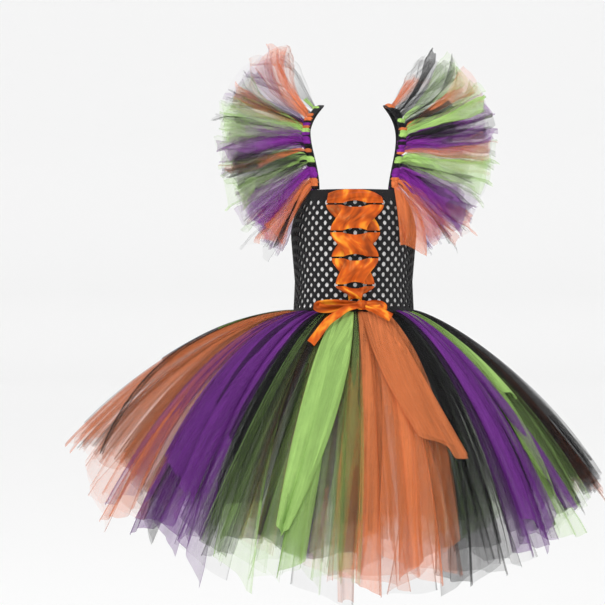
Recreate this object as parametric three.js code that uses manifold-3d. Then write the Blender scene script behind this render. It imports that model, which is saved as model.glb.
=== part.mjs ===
// Child's witch costume dress: crocheted tube bodice with ribbon lacing, shoulder straps with tulle
// cap sleeves, and a skirt of knotted tulle strips in orange, purple, green and black.
// Millimetres, +Z up, +X to the right seen from the front, -Y to the front.
// The origin is midway between the shoulder straps, level with the undersides of their tops.
import * as THREE from "three";
import { mergeVertices } from "three/addons/utils/BufferGeometryUtils.js";
import Module from "manifold-3d";

const wasm = await Module();
wasm.setup();

// Driving dimensions of the worn dress
const WAIST_Z = -292;
const NECK_Z = -122;
const BACK_NECK_Z = -134;
const UNDERARM_Z = -180;
const CROCHET_THICK = 2;
const LINING_THICK = 1;
const TULLE_THICK = 1.2;
const RIBBON_THICK = 1;
const RIBBON_WIDTH = 15;
const SEAM_GAP = 0.4;

// Half width and half depth of the bodice at each height, from the waist to the neck
const BODICE_SECTIONS = [
  { z: -292, halfWidth: 85, halfDepth: 63 },
  { z: -274, halfWidth: 84, halfDepth: 62 },
  { z: -250, halfWidth: 83, halfDepth: 62 },
  { z: -215, halfWidth: 86, halfDepth: 65 },
  { z: -180, halfWidth: 89, halfDepth: 67 },
  { z: -150, halfWidth: 86, halfDepth: 64 },
  { z: -122, halfWidth: 80, halfDepth: 58 },
];

// Skirt: cut length of a hanging strip, and how far its hem stands out from the axis
const STRIP_LENGTH = 405;
const SIDE_SHORTENING = 44;
const HEM_LEFT = 395;
const HEM_RIGHT = 350;
const HEM_FRONT = 230;
const HEM_BACK = 220;
// How late a strip turns down: the power of its fall at the front and back, and at each side
const FRONT_FALL = 1.35;
const LEFT_FALL = 1.62;
const RIGHT_FALL = 1.3;
// How much faster than evenly a strip stands out from the waist, at the front and at the sides
const FRONT_SPRING = 0.3;
const SIDE_SPRING = 0.15;

const degrees = Math.PI / 180;
const mix = (from, to, share) => from + (to - from) * share;
const smooth = (share) => share * share * (3 - 2 * share);
const clampShare = (value) => Math.min(1, Math.max(0, value));
const vector = (x, y, z) => new THREE.Vector3(x, y, z);

const COLOURS = {
  black: { color: 0x16161a, roughness: 0.9 },
  crochet: { color: 0x0d0d0f, roughness: 0.85 },
  lining: { color: 0xe6e4e0, roughness: 0.9 },
  orange: { color: 0xd9632b, roughness: 0.8 },
  purple: { color: 0x5a1f80, roughness: 0.8 },
  green: { color: 0x9fd06a, roughness: 0.8 },
  satin: { color: 0xf0680c, roughness: 0.35 },
};

const dress = new THREE.Group();

function addPiece(name, geometry, finish) {
  const material = new THREE.MeshStandardMaterial({ ...COLOURS[finish], metalness: 0 });
  const mesh = new THREE.Mesh(geometry, material);
  mesh.name = name;
  dress.add(mesh);
}

// Unit normal of a sheet at (u, v), from the slopes of its middle surface
function sheetNormal(pointAt, u, v) {
  const step = 0.002;
  const across = pointAt(u + step, v).sub(pointAt(u - step, v));
  const along = pointAt(u, v + step).sub(pointAt(u, v - step));
  return across.cross(along).normalize();
}

// A closed cloth wall round a middle surface. A sheet that is round joins its last column to its first.
function clothWall({ columns, rows, pointAt, thickness, round = false }) {
  const positions = [];
  const index = [];
  const columnCount = round ? columns : columns + 1;
  const sideSize = columnCount * (rows + 1);
  for (const side of [0.5, -0.5]) {
    for (let row = 0; row <= rows; row += 1) {
      for (let column = 0; column < columnCount; column += 1) {
        const u = column / columns;
        const v = row / rows;
        const offset = sheetNormal(pointAt, u, v).multiplyScalar(thickness(u, v) * side);
        positions.push(...pointAt(u, v).add(offset).toArray());
      }
    }
  }
  const at = (side, column, row) => side * sideSize + row * columnCount + (column % columnCount);
  const quad = (a, b, c, d) => index.push(a, b, c, a, c, d);
  for (let row = 0; row < rows; row += 1) {
    for (let column = 0; column < columns; column += 1) {
      const next = column + 1;
      quad(at(0, column, row), at(0, next, row), at(0, next, row + 1), at(0, column, row + 1));
      quad(at(1, column, row), at(1, column, row + 1), at(1, next, row + 1), at(1, next, row));
    }
  }
  for (let column = 0; column < columns; column += 1) {
    const next = column + 1;
    quad(at(0, next, 0), at(0, column, 0), at(1, column, 0), at(1, next, 0));
    quad(at(0, column, rows), at(0, next, rows), at(1, next, rows), at(1, column, rows));
  }
  for (let row = 0; !round && row < rows; row += 1) {
    quad(at(0, 0, row), at(0, 0, row + 1), at(1, 0, row + 1), at(1, 0, row));
    quad(at(0, columns, row + 1), at(0, columns, row), at(1, columns, row), at(1, columns, row + 1));
  }
  const geometry = new THREE.BufferGeometry();
  geometry.setAttribute("position", new THREE.Float32BufferAttribute(positions, 3));
  geometry.setIndex(index);
  return facingOut(geometry);
}

// Turns the faces round when a sheet's directions make a wall that faces inwards
function facingOut(geometry) {
  const places = geometry.getAttribute("position");
  const index = geometry.getIndex().array;
  const corner = (i) => new THREE.Vector3().fromBufferAttribute(places, index[i]);
  let volume = 0;
  for (let i = 0; i < index.length; i += 3) {
    volume += corner(i).dot(corner(i + 1).cross(corner(i + 2)));
  }
  for (let i = 0; volume < 0 && i < index.length; i += 3) {
    [index[i + 1], index[i + 2]] = [index[i + 2], index[i + 1]];
  }
  return geometry;
}

function solidOf(geometry) {
  const bare = geometry.clone();
  bare.deleteAttribute("normal");
  bare.deleteAttribute("uv");
  const merged = mergeVertices(bare, 1e-3);
  const places = merged.getAttribute("position").array;
  const mesh = new wasm.Mesh({ numProp: 3, vertProperties: places, triVerts: merged.getIndex().array });
  return new wasm.Manifold(mesh);
}

function joined(geometries) {
  const whole = geometries.map(solidOf).reduce((sum, solid) => sum.add(solid));
  const mesh = whole.getMesh();
  const geometry = new THREE.BufferGeometry();
  geometry.setAttribute("position", new THREE.BufferAttribute(mesh.vertProperties, 3));
  geometry.setIndex(new THREE.BufferAttribute(mesh.triVerts, 1));
  return geometry;
}

// Bodice
// A stretch crochet tube in a front and a back half, with a scooped armhole on each side.

function bodiceSection(z) {
  const last = BODICE_SECTIONS.length - 1;
  const height = Math.min(BODICE_SECTIONS[last].z, Math.max(BODICE_SECTIONS[0].z, z));
  const upper = Math.max(1, BODICE_SECTIONS.findIndex((section) => section.z >= height));
  const [low, high] = [BODICE_SECTIONS[upper - 1], BODICE_SECTIONS[upper]];
  const share = (height - low.z) / (high.z - low.z);
  return {
    halfWidth: mix(low.halfWidth, high.halfWidth, share),
    halfDepth: mix(low.halfDepth, high.halfDepth, share),
  };
}

// Point on the crochet's middle surface. Azimuth 0 is the front, 90 degrees the right side.
function bodicePoint(azimuth, z, outward = 0) {
  const { halfWidth, halfDepth } = bodiceSection(z);
  const x = (halfWidth + outward) * Math.sin(azimuth);
  const y = -(halfDepth + outward) * Math.cos(azimuth);
  return vector(x, y, z);
}

const STRAP_AZIMUTH = 42 * degrees;
const SCOOP_START = 46 * degrees;

// Height of the bodice's upper edge: level at the neck, scooped under the arm
function upperEdge(azimuth) {
  const turned = Math.abs(Math.atan2(Math.sin(azimuth), Math.cos(azimuth)));
  const fromSide = Math.abs(turned - Math.PI / 2);
  const level = turned < Math.PI / 2 ? NECK_Z : BACK_NECK_Z;
  const rise = clampShare(fromSide / (Math.PI / 2 - SCOOP_START));
  return mix(UNDERARM_Z, level, Math.sin((rise * Math.PI) / 2) ** 1.4);
}

// Share of the bodice's height at share v of the section table, so that rows fall on its sections
function sectionShare(v) {
  const last = BODICE_SECTIONS.length - 1;
  const place = clampShare(v) * last;
  const row = Math.min(last - 1, Math.floor(place));
  const z = mix(BODICE_SECTIONS[row].z, BODICE_SECTIONS[row + 1].z, place - row);
  return (z - WAIST_Z) / (NECK_Z - WAIST_Z) + v - clampShare(v);
}

function bodiceHalf(centre) {
  const seam = SEAM_GAP / 2 / BODICE_SECTIONS[3].halfDepth;
  const halfTurn = Math.PI / 2 - seam;
  return clothWall({
    columns: 16,
    rows: 6,
    pointAt: (u, v) => {
      const azimuth = centre + mix(-halfTurn, halfTurn, u);
      return bodicePoint(azimuth, mix(WAIST_Z, upperEdge(azimuth), sectionShare(v)));
    },
    thickness: () => CROCHET_THICK,
  });
}

addPiece("bodice_front", bodiceHalf(0), "crochet");
addPiece("bodice_back", bodiceHalf(Math.PI), "crochet");

// Pale lining tube that shows through the crochet's gaps
const LINING_CLEARANCE = 0.8;
const LINING_INSET = CROCHET_THICK / 2 + LINING_CLEARANCE + LINING_THICK / 2;
const LINING_BELOW_EDGE = 5;

const lining = clothWall({
  columns: 32,
  rows: 6,
  pointAt: (u, v) => {
    const azimuth = u * 2 * Math.PI;
    const z = mix(WAIST_Z + 1, upperEdge(azimuth) - LINING_BELOW_EDGE, sectionShare(v));
    return bodicePoint(azimuth, z, -LINING_INSET);
  },
  thickness: () => LINING_THICK,
  round: true,
});
addPiece("lining", lining, "lining");

// Straps
// An elastic band on each side rises from the front neck edge, over the shoulder and down to the back.
const STRAP_WIDTH = 9;
const STRAP_THICK = 2;

function strapBase(front) {
  const azimuth = front ? STRAP_AZIMUTH : Math.PI - STRAP_AZIMUTH;
  return bodicePoint(azimuth, front ? NECK_Z : BACK_NECK_Z).add(vector(0, 0, SEAM_GAP));
}

// Centre of the strap at share s of its run, from the front base to the back base
function strapPoint(side, s) {
  const turn = Math.PI * clampShare(s);
  const [front, back] = [strapBase(true), strapBase(false)];
  const base = front.clone().multiply(vector(1, -1, 1)).lerp(back, clampShare(s));
  const bow = 14 * Math.sin(2 * turn) ** 2 - 8 * Math.sin(turn) ** 4;
  const x = base.x + bow;
  const y = -base.y * Math.cos(turn) * (1 + 0.3 * Math.sin(turn));
  const z = base.z + (STRAP_THICK / 2 - base.z) * Math.sin(turn);
  return vector(side * x, y, z);
}

function strap(side) {
  return clothWall({
    columns: 1,
    rows: 16,
    pointAt: (u, v) => strapPoint(side, v).add(vector((u - 0.5) * STRAP_WIDTH, 0, 0)),
    thickness: () => STRAP_THICK,
  });
}

addPiece("strap_left", strap(-1), "crochet");
addPiece("strap_right", strap(1), "crochet");

// Sleeves
// Tulle strips knotted round each strap stand out as a fan. Lift is the angle above level,
// ahead is the angle to the front, and length runs from the strap to the strip's tip.
const FAN_DIRECTIONS = [
  { s: 0.0, lift: -54, ahead: 30, length: 94 },
  { s: 0.12, lift: -38, ahead: 36, length: 142 },
  { s: 0.25, lift: -15, ahead: 30, length: 138 },
  { s: 0.38, lift: 12, ahead: 16, length: 128 },
  { s: 0.45, lift: 38, ahead: 8, length: 118 },
  { s: 0.53, lift: 64, ahead: -2, length: 102 },
  { s: 0.62, lift: 34, ahead: -16, length: 120 },
  { s: 0.75, lift: -4, ahead: -30, length: 130 },
  { s: 0.88, lift: -32, ahead: -36, length: 130 },
  { s: 1.0, lift: -52, ahead: -30, length: 92 },
];

// Named strips of a sleeve in order along the strap, each with its share of the strap's run
const SLEEVE_STRIPS = [
  { name: "orange_low", from: 0.01, to: 0.1, finish: "orange", reach: 1.0 },
  { name: "purple_low", from: 0.1, to: 0.19, finish: "purple", reach: 0.96 },
  { name: "green", from: 0.19, to: 0.28, finish: "green", reach: 1.0 },
  { name: "purple_mid", from: 0.28, to: 0.36, finish: "purple", reach: 0.97 },
  { name: "green_high", from: 0.36, to: 0.425, finish: "green", reach: 0.96 },
  { name: "black_high", from: 0.425, to: 0.48, finish: "black", reach: 1.0 },
  { name: "orange_top", from: 0.48, to: 0.54, finish: "orange", reach: 1.0 },
  { name: "black_back", from: 0.54, to: 0.76, finish: "black", reach: 0.96 },
  { name: "purple_back", from: 0.76, to: 0.99, finish: "purple", reach: 0.96 },
];
const KNOT_CLEARANCE = 1.2;
const SLEEVE_WAVES = 1.75;
const SLEEVE_WAVE_DEPTH = 4;
const SLEEVE_SIDE_GAP = 0.006;

function fanDirection(s) {
  const upper = Math.max(1, FAN_DIRECTIONS.findIndex((row) => row.s >= clampShare(s)));
  const [low, high] = [FAN_DIRECTIONS[upper - 1], FAN_DIRECTIONS[upper]];
  const share = (clampShare(s) - low.s) / (high.s - low.s);
  const lift = mix(low.lift, high.lift, share) * degrees;
  const ahead = mix(low.ahead, high.ahead, share) * degrees;
  const direction = vector(
    Math.cos(lift) * Math.cos(ahead),
    -Math.cos(lift) * Math.sin(ahead),
    Math.sin(lift),
  );
  return { direction, length: mix(low.length, high.length, share) };
}

// Point on a sleeve's fan at share s of the strap and share r of the strip's length
function fanPoint(side, s, r, reach) {
  const { direction, length } = fanDirection(s);
  const root = strapPoint(1, s).add(vector(STRAP_WIDTH / 2 + KNOT_CLEARANCE, 0, 0));
  const out = root.addScaledVector(direction, length * reach * r);
  const droop = 10 * r * r;
  return vector(side * out.x, out.y, out.z - droop);
}

function sleeveStrip(side, strip) {
  const flat = (u, v) => fanPoint(side, mix(strip.from, strip.to, u), v, strip.reach);
  const face = sheetNormal(flat, 0.5, 0.5);
  return clothWall({
    columns: 7,
    rows: 3,
    pointAt: (u, v) => {
      const inset = mix(strip.from + SLEEVE_SIDE_GAP, strip.to - SLEEVE_SIDE_GAP, u);
      const slant = 1 - 0.1 * Math.abs(u - 0.4);
      const place = fanPoint(side, inset, v * slant, strip.reach);
      const wave = Math.sin(2 * Math.PI * SLEEVE_WAVES * u);
      return place.addScaledVector(face, SLEEVE_WAVE_DEPTH * v * wave);
    },
    thickness: () => TULLE_THICK,
  });
}

for (const [side, label] of [[-1, "left"], [1, "right"]]) {
  for (const strip of SLEEVE_STRIPS) {
    addPiece(`sleeve_${label}_${strip.name}`, sleeveStrip(side, strip), strip.finish);
  }
}

// Skirt
// Every strip is knotted into the crochet's lowest row and hangs out over the ones inside it.

function hemPlan(azimuth) {
  const [sine, cosine] = [Math.sin(azimuth), Math.cos(azimuth)];
  const sideways = sine < 0 ? HEM_LEFT : HEM_RIGHT;
  const ahead = cosine > 0 ? HEM_FRONT : HEM_BACK;
  return { x: sideways * sine, y: -ahead * cosine };
}

// Point on the skirt's main surface at share t of a strip's length
function skirtPoint(azimuth, t) {
  const waist = bodicePoint(azimuth, WAIST_Z);
  const hem = hemPlan(azimuth);
  const reach = Math.hypot(hem.x - waist.x, hem.y - waist.y);
  const sideShare = Math.sin(azimuth) ** 2;
  const hangs = STRIP_LENGTH - SIDE_SHORTENING * sideShare;
  const drop = Math.sqrt(hangs * hangs - reach * reach);
  const spring = mix(FRONT_SPRING, SIDE_SPRING, sideShare);
  const sideFall = Math.sin(azimuth) < 0 ? LEFT_FALL : RIGHT_FALL;
  const outward = t * (1 + spring - spring * t);
  const down = Math.max(0, t) ** mix(FRONT_FALL, sideFall, sideShare);
  const x = mix(waist.x, hem.x, outward);
  const y = mix(waist.y, hem.y, outward);
  return vector(x, y, WAIST_Z - SEAM_GAP - CROCHET_THICK / 2 - drop * down);
}

function skirtNormal(azimuth, t) {
  const step = 0.01;
  const across = skirtPoint(azimuth + step, t).sub(skirtPoint(azimuth - step, t));
  const along = skirtPoint(azimuth, t + step).sub(skirtPoint(azimuth, Math.max(0.001, t - step)));
  return along.cross(across).normalize();
}

// How far each layer lies outside the main surface, and how deep its pleats are, waist to hem
const LAYERS = {
  under: { start: 0, atWaist: -2.7, atHem: -24, pleat: 8, rows: 5 },
  main: { start: 0, atWaist: 0, atHem: 0, pleat: 7, rows: 6 },
  over: { start: 0.018, atWaist: 1.2, atHem: 19, pleat: 5, rows: 6 },
};
const STRIP_COLUMNS = 8;
const STRIP_SIDE_GAP = 0.35;
const TOP_WAVE = 0.2;
const TOP_THICK = 1.6;

// A strip spans the azimuths waist[0] to waist[1] at the waist and hem[0] to hem[1] at the hem.
// Its end is cut at a slant: long is the share of the full length, slant the extra on one side.
function skirtStrip({ layer, waist, hem, long, slant = 0, folds = 2 }) {
  const { start, atWaist, atHem, pleat, rows } = LAYERS[layer];
  return clothWall({
    columns: STRIP_COLUMNS,
    rows,
    pointAt: (u, v) => {
      const t = start + Math.max(0, v) * (long * (1 + slant * (2 * u - 1)) - start);
      const atTop = mix(waist[0] + STRIP_SIDE_GAP, waist[1] - STRIP_SIDE_GAP, u);
      const atEnd = mix(hem[0] + STRIP_SIDE_GAP, hem[1] - STRIP_SIDE_GAP, u);
      const azimuth = mix(atTop, atEnd, smooth(clampShare(t))) * degrees;
      const depth = mix(TOP_WAVE, pleat, clampShare(t));
      const wave = depth * Math.sin(2 * Math.PI * folds * u + waist[0]);
      const offset = mix(atWaist, atHem, clampShare(t)) + wave;
      return skirtPoint(azimuth, t).addScaledVector(skirtNormal(azimuth, t), offset);
    },
    thickness: (u, v) => mix(TOP_THICK, TULLE_THICK, v),
  });
}

const UNDER_STRIPS = 8;
for (let strip = 0; strip < UNDER_STRIPS; strip += 1) {
  const span = 360 / UNDER_STRIPS;
  const range = [strip * span - span / 2, (strip + 1) * span - span / 2];
  const cut = { layer: "under", waist: range, hem: range, long: 0.98, slant: strip % 2 ? 0.02 : -0.02 };
  addPiece(`skirt_under_${strip + 1}`, skirtStrip(cut), "black");
}

// Main strips in order round the waist, from the back left over the front to the back right.
// Each ends where the next begins.
const MAIN_STRIPS = [
  { name: "black_back_left", waist: -112, hem: -112, long: 0.97, slant: -0.02, finish: "black" },
  { name: "orange_side", waist: -90, hem: -92, long: 1.0, slant: -0.03, finish: "orange" },
  { name: "orange_left", waist: -72, hem: -70, long: 0.98, slant: 0.02, finish: "orange" },
  { name: "purple_left", waist: -55, hem: -52, long: 0.98, slant: 0.02, finish: "purple" },
  { name: "black_left", waist: -34, hem: -36, long: 0.97, slant: -0.02, finish: "black" },
  { name: "olive_left", waist: -21, hem: -28, long: 0.95, slant: 0.02, finish: "green" },
  { name: "olive_middle", waist: -11, hem: -13, long: 0.94, slant: -0.02, finish: "green" },
  { name: "orange_front", waist: 2, hem: -1, long: 0.95, slant: 0.02, finish: "orange" },
  { name: "black_right", waist: 27, hem: 20, long: 0.97, slant: 0.02, finish: "black" },
  { name: "purple_right", waist: 42, hem: 37, long: 0.98, slant: -0.02, finish: "purple" },
  { name: "green_right", waist: 55, hem: 51, long: 1.0, slant: 0.02, finish: "green" },
  { name: "black_side", waist: 70, hem: 66, long: 0.98, slant: -0.02, finish: "black" },
  { name: "orange_back_right", waist: 93, hem: 88, long: 1.0, slant: 0.02, finish: "orange" },
  { name: "purple_back_right", waist: 112, hem: 112, long: 0.97, slant: 0.02, finish: "purple" },
  { name: "green_back_right", waist: 135, hem: 135, long: 0.98, slant: -0.02, finish: "green" },
  { name: "orange_back", waist: 158, hem: 158, long: 0.95, slant: 0.02, finish: "orange" },
  { name: "purple_back", waist: 181, hem: 181, long: 0.98, slant: -0.02, finish: "purple" },
  { name: "green_back_left", waist: 203, hem: 203, long: 0.96, slant: 0.02, finish: "green" },
  { name: "orange_back_left", waist: 225, hem: 225, long: 0.98, slant: -0.02, finish: "orange" },
];

MAIN_STRIPS.forEach((strip, place) => {
  const next = MAIN_STRIPS[(place + 1) % MAIN_STRIPS.length];
  const turn = place + 1 < MAIN_STRIPS.length ? 0 : 360;
  const cut = {
    layer: "main",
    waist: [strip.waist, next.waist + turn],
    hem: [strip.hem, next.hem + turn],
    long: strip.long,
    slant: strip.slant,
  };
  addPiece(`skirt_${strip.name}`, skirtStrip(cut), strip.finish);
});

// Strips that lie on top of the main ones
const OVER_STRIPS = [
  { name: "green_over", waist: [-19, -2], hem: [-19.5, -14], long: 0.84, slant: -0.02, finish: "green" },
  { name: "orange_over", waist: [7, 27], hem: [32, 36], long: 0.61, slant: 0.07, finish: "orange" },
  { name: "purple_over", waist: [-54, -37], hem: [-50, -36], long: 0.82, slant: 0.05, finish: "purple" },
  { name: "orange_over_left", waist: [-88, -72], hem: [-90, -74], long: 0.92, slant: -0.04, finish: "orange" },
  { name: "green_over_right", waist: [60, 68], hem: [55, 61], long: 0.56, slant: 0.06, finish: "green" },
  { name: "black_over_back", waist: [168, 192], hem: [166, 194], long: 0.86, slant: 0.03, finish: "black" },
];

for (const strip of OVER_STRIPS) {
  addPiece(`skirt_${strip.name}`, skirtStrip({ ...strip, layer: "over" }), strip.finish);
}

// Lacing
// One satin ribbon lies across the top, crosses down the front and ends in the bow.
// Each row gives the height of a pair of eyelets and how far they stand from the middle.
const EYELETS = [
  { z: -138, halfWidth: 37 },
  { z: -181, halfWidth: 33 },
  { z: -217, halfWidth: 32 },
  { z: -254, halfWidth: 26 },
  { z: -277, halfWidth: 10 },
];
const RIBBON_CLEARANCE = 0.8;
const RIBBON_OUT = CROCHET_THICK / 2 + RIBBON_CLEARANCE + RIBBON_THICK / 2;
const CROSSING_RISE = 1.6;
const TURN_HEIGHT = 10;
const TURN_WIDTH = 7;

// Point on the bodice front at height z and distance x from its middle, moved out from the surface
function frontPoint(x, z, outward) {
  const { halfWidth, halfDepth } = bodiceSection(z);
  const share = Math.sqrt(Math.max(0, 1 - (x / halfWidth) ** 2));
  return vector(x, -halfDepth * share - outward / Math.max(0.5, share), z);
}

// One stretch of ribbon on the bodice from one eyelet to another, pinched at both ends
function ribbonStretch(from, to, rise, width = RIBBON_WIDTH) {
  const run = vector(to.x - from.x, 0, to.z - from.z);
  const side = vector(-run.z, 0, run.x).normalize();
  return clothWall({
    columns: 1,
    rows: 4,
    pointAt: (u, v) => {
      const swell = Math.sin(Math.PI * clampShare(v));
      const away = (u - 0.5) * width * mix(0.62, 1, Math.sqrt(swell));
      const x = from.x + run.x * v + side.x * away;
      const z = from.z + run.z * v + side.z * away;
      return frontPoint(x, z, RIBBON_OUT + rise * swell);
    },
    thickness: () => RIBBON_THICK,
  });
}

const eyelet = (row, side) => ({ x: side * EYELETS[row].halfWidth, z: EYELETS[row].z });

// The half of the ribbon that starts at the given side, changes sides at every row and turns there
function lacingHalf(firstSide, rise) {
  const pieces = [];
  for (let row = 0; row + 1 < EYELETS.length; row += 1) {
    const side = row % 2 ? -firstSide : firstSide;
    const { x, z } = eyelet(row, side);
    const turnTop = { x, z: z + TURN_HEIGHT / 2 };
    const turnFoot = { x, z: z - TURN_HEIGHT / 2 };
    pieces.push(ribbonStretch(turnTop, turnFoot, 0, TURN_WIDTH));
    pieces.push(ribbonStretch(eyelet(row, side), eyelet(row + 1, -side), rise));
  }
  return pieces;
}

const topBand = ribbonStretch(eyelet(0, -1), eyelet(0, 1), 0);
addPiece("lacing", joined([topBand, ...lacingHalf(-1, 0), ...lacingHalf(1, CROSSING_RISE)]), "satin");

// Bow
// Two ribbon loops and two tails held by a knot in front of the waist
const KNOT_SIZE = { x: 8, y: 5.5, z: 7 };
const BOW_MIDDLE = { x: 9, z: -283 };
const KNOT_OUT = RIBBON_OUT + RIBBON_THICK / 2 + KNOT_SIZE.y - 0.6;
const LOOP_DEPTH = 5;
const LOOP_FORWARD = 13;
const KNOTTED_WIDTH = 6;
const knotCentre = frontPoint(BOW_MIDDLE.x, BOW_MIDDLE.z, KNOT_OUT);

function bowLoop(side, length, drop) {
  return clothWall({
    columns: 16,
    rows: 1,
    pointAt: (u, v) => {
      const turn = u * 2 * Math.PI;
      const out = (1 - Math.cos(turn)) / 2;
      const x = knotCentre.x + side * (1 + length * out);
      const y = knotCentre.y + LOOP_DEPTH * Math.sin(turn) * Math.sqrt(Math.max(0, out));
      const height = mix(KNOTTED_WIDTH, RIBBON_WIDTH - 1, Math.sin((Math.PI * out) / 2));
      return vector(x, y - LOOP_FORWARD * out, knotCentre.z - drop * out + (v - 0.5) * height);
    },
    thickness: () => RIBBON_THICK,
    round: true,
  });
}

// A tail runs from the knot over the skirt. Each of its places is an azimuth and a share t of the
// strips' length, and outward is the distance from the skirt's main surface.
function bowTail(places) {
  const onSkirt = ({ azimuth, t, outward }) => {
    const angle = azimuth * degrees;
    return skirtPoint(angle, t).addScaledVector(skirtNormal(angle, t), outward);
  };
  const curve = new THREE.CatmullRomCurve3([knotCentre.clone(), ...places.map(onSkirt)]);
  return clothWall({
    columns: 1,
    rows: 7,
    pointAt: (u, v) => {
      const share = clampShare(v);
      const along = curve.getTangent(share);
      const side = vector(-along.z, 0, along.x).normalize();
      const past = along.clone().multiplyScalar((v - share) * curve.getLength());
      const away = (u - 0.5) * mix(KNOTTED_WIDTH, RIBBON_WIDTH - 3, share);
      return curve.getPoint(share).add(past).addScaledVector(side, away);
    },
    thickness: () => RIBBON_THICK,
  });
}

function bowKnot() {
  const knot = new THREE.SphereGeometry(1, 10, 6);
  knot.scale(KNOT_SIZE.x, KNOT_SIZE.y, KNOT_SIZE.z);
  return knot.translate(knotCentre.x, knotCentre.y, knotCentre.z);
}

const leftTail = bowTail([
  { azimuth: -6, t: 0.05, outward: 16 },
  { azimuth: -16, t: 0.13, outward: 15 },
  { azimuth: -20, t: 0.24, outward: 13 },
]);
const rightTail = bowTail([
  { azimuth: 14, t: 0.06, outward: 16 },
  { azimuth: 22, t: 0.11, outward: 16 },
]);
const bow = joined([bowKnot(), bowLoop(-1, 68, 7), bowLoop(1, 38, 5), leftTail, rightTail]);
addPiece("bow", bow, "satin");

export default dress;
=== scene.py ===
import math
import bmesh
import bpy
import numpy as np
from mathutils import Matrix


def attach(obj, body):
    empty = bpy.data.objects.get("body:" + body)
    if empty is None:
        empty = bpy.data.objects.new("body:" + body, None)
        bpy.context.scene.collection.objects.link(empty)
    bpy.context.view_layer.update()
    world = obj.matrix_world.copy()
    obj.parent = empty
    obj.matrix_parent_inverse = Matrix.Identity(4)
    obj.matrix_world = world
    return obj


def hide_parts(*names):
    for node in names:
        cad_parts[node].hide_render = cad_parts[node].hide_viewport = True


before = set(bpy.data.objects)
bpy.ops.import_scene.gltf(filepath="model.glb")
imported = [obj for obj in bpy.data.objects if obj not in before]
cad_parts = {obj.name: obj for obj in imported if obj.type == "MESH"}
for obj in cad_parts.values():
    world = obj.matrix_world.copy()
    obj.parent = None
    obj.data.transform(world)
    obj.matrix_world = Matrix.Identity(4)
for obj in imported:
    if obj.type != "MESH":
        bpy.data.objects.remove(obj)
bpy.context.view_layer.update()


# Studio: the dress hangs in the air as if worn, over a plain pale floor that rises into a backdrop.
# The camera is level with the skirt's upper part, a little left of the dress, as in the photograph.
camera_data = bpy.data.cameras.new("camera")
camera_data.lens = 91.6
camera_data.sensor_width = 36
camera = bpy.data.objects.new("camera", camera_data)
camera.location = (-0.073, -2.2, -0.280)
camera.rotation_euler = (math.radians(90), 0, 0)
bpy.context.scene.collection.objects.link(camera)
bpy.context.scene.camera = camera


def new_material(name):
    """A new material with its node tree and its Principled shader."""
    material = bpy.data.materials.new(name)
    material.use_nodes = True
    return material, material.node_tree, material.node_tree.nodes["Principled BSDF"]


def fill_sockets(tree, node, sockets):
    """Sets each socket to its value, or links it when it is given another node's output."""
    for socket, value in sockets.items():
        if isinstance(value, bpy.types.NodeSocket):
            tree.links.new(value, node.inputs[socket])
        else:
            node.inputs[socket].default_value = value


FLOOR_HALF_WIDTH = 14
# The floor's line in y and z, from its front edge back and up the backdrop
FLOOR_LINE = [(-12, -1.1), (9, -1.1), (10.2, -0.9), (11.0, -0.2), (11.4, 1.2), (11.4, 9)]
floor_points = []
for y, z in FLOOR_LINE:
    floor_points.append((-FLOOR_HALF_WIDTH, y, z))
    floor_points.append((FLOOR_HALF_WIDTH, y, z))
floor_faces = [(2 * i, 2 * i + 1, 2 * i + 3, 2 * i + 2) for i in range(len(FLOOR_LINE) - 1)]
floor_mesh = bpy.data.meshes.new("floor")
floor_mesh.from_pydata(floor_points, [], floor_faces)
floor = bpy.data.objects.new("floor", floor_mesh)
floor_material, floor_tree, floor_shader = new_material("pale_floor")
fill_sockets(floor_tree, floor_shader, {"Base Color": (0.96, 0.96, 0.96, 1), "Roughness": 0.9})
floor_mesh.materials.append(floor_material)
bpy.context.scene.collection.objects.link(floor)
floor_mesh.shade_smooth()


def soft_light(name, place, aim, size, power):
    light_data = bpy.data.lights.new(name, "AREA")
    light_data.shape = "DISK"
    light_data.size = size
    light_data.energy = power
    light = bpy.data.objects.new(name, light_data)
    light.location = place
    direction = np.array(aim, dtype=float) - np.array(place, dtype=float)
    flat = math.hypot(direction[0], direction[1])
    light.rotation_euler = (math.atan2(flat, -direction[2]), 0, math.atan2(-direction[0], direction[1]))
    bpy.context.scene.collection.objects.link(light)


soft_light("key", (-1.6, -2.6, 1.6), (0, 0, -0.3), 1.2, 38)
soft_light("fill", (2.2, -2.2, 0.4), (0, 0, -0.35), 1.6, 8)
world = bpy.data.worlds.new("studio")
world.use_nodes = True
background = world.node_tree.nodes["Background"]
fill_sockets(world.node_tree, background, {"Color": (1, 1, 1, 1), "Strength": 0.95})
bpy.context.scene.world = world
bpy.context.scene.view_settings.view_transform = "Standard"
bpy.context.scene.cycles.transparent_max_bounces = 48
bpy.context.scene.cycles.max_bounces = 6


# Bodice: a stretch tube of black open crochet in a front and a back half, scooped under the arms.
# Rows of small oval gaps lie between soft ribbed strands, with a plain close band along the neck.
WAIST_Z = -0.292
UNDERARM_Z = -0.180
NECK_Z = -0.122
BODICE_Z = [WAIST_Z, -0.274, -0.250, -0.215, UNDERARM_Z, -0.150, NECK_Z]
BODICE_HALF_WIDTH = [0.085, 0.084, 0.083, 0.086, 0.089, 0.086, 0.080]
BODICE_HALF_DEPTH = [0.063, 0.062, 0.062, 0.065, 0.067, 0.064, 0.058]
LOW_EDGE_Z = WAIST_Z - 0.003
BACK_NECK_Z = -0.134
SCOOP_START = math.radians(46)
GAP_PITCH = 0.0125
GAP_ROWS = 22
ROW_HEIGHT = 0.0072
GAP_HALF_WIDTH = 0.0025
GAP_HALF_HEIGHT = 0.0032
GAPS_ACROSS = 19
CLOSED_ROWS = 3
SEAM_ANGLE = 0.0031
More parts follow.
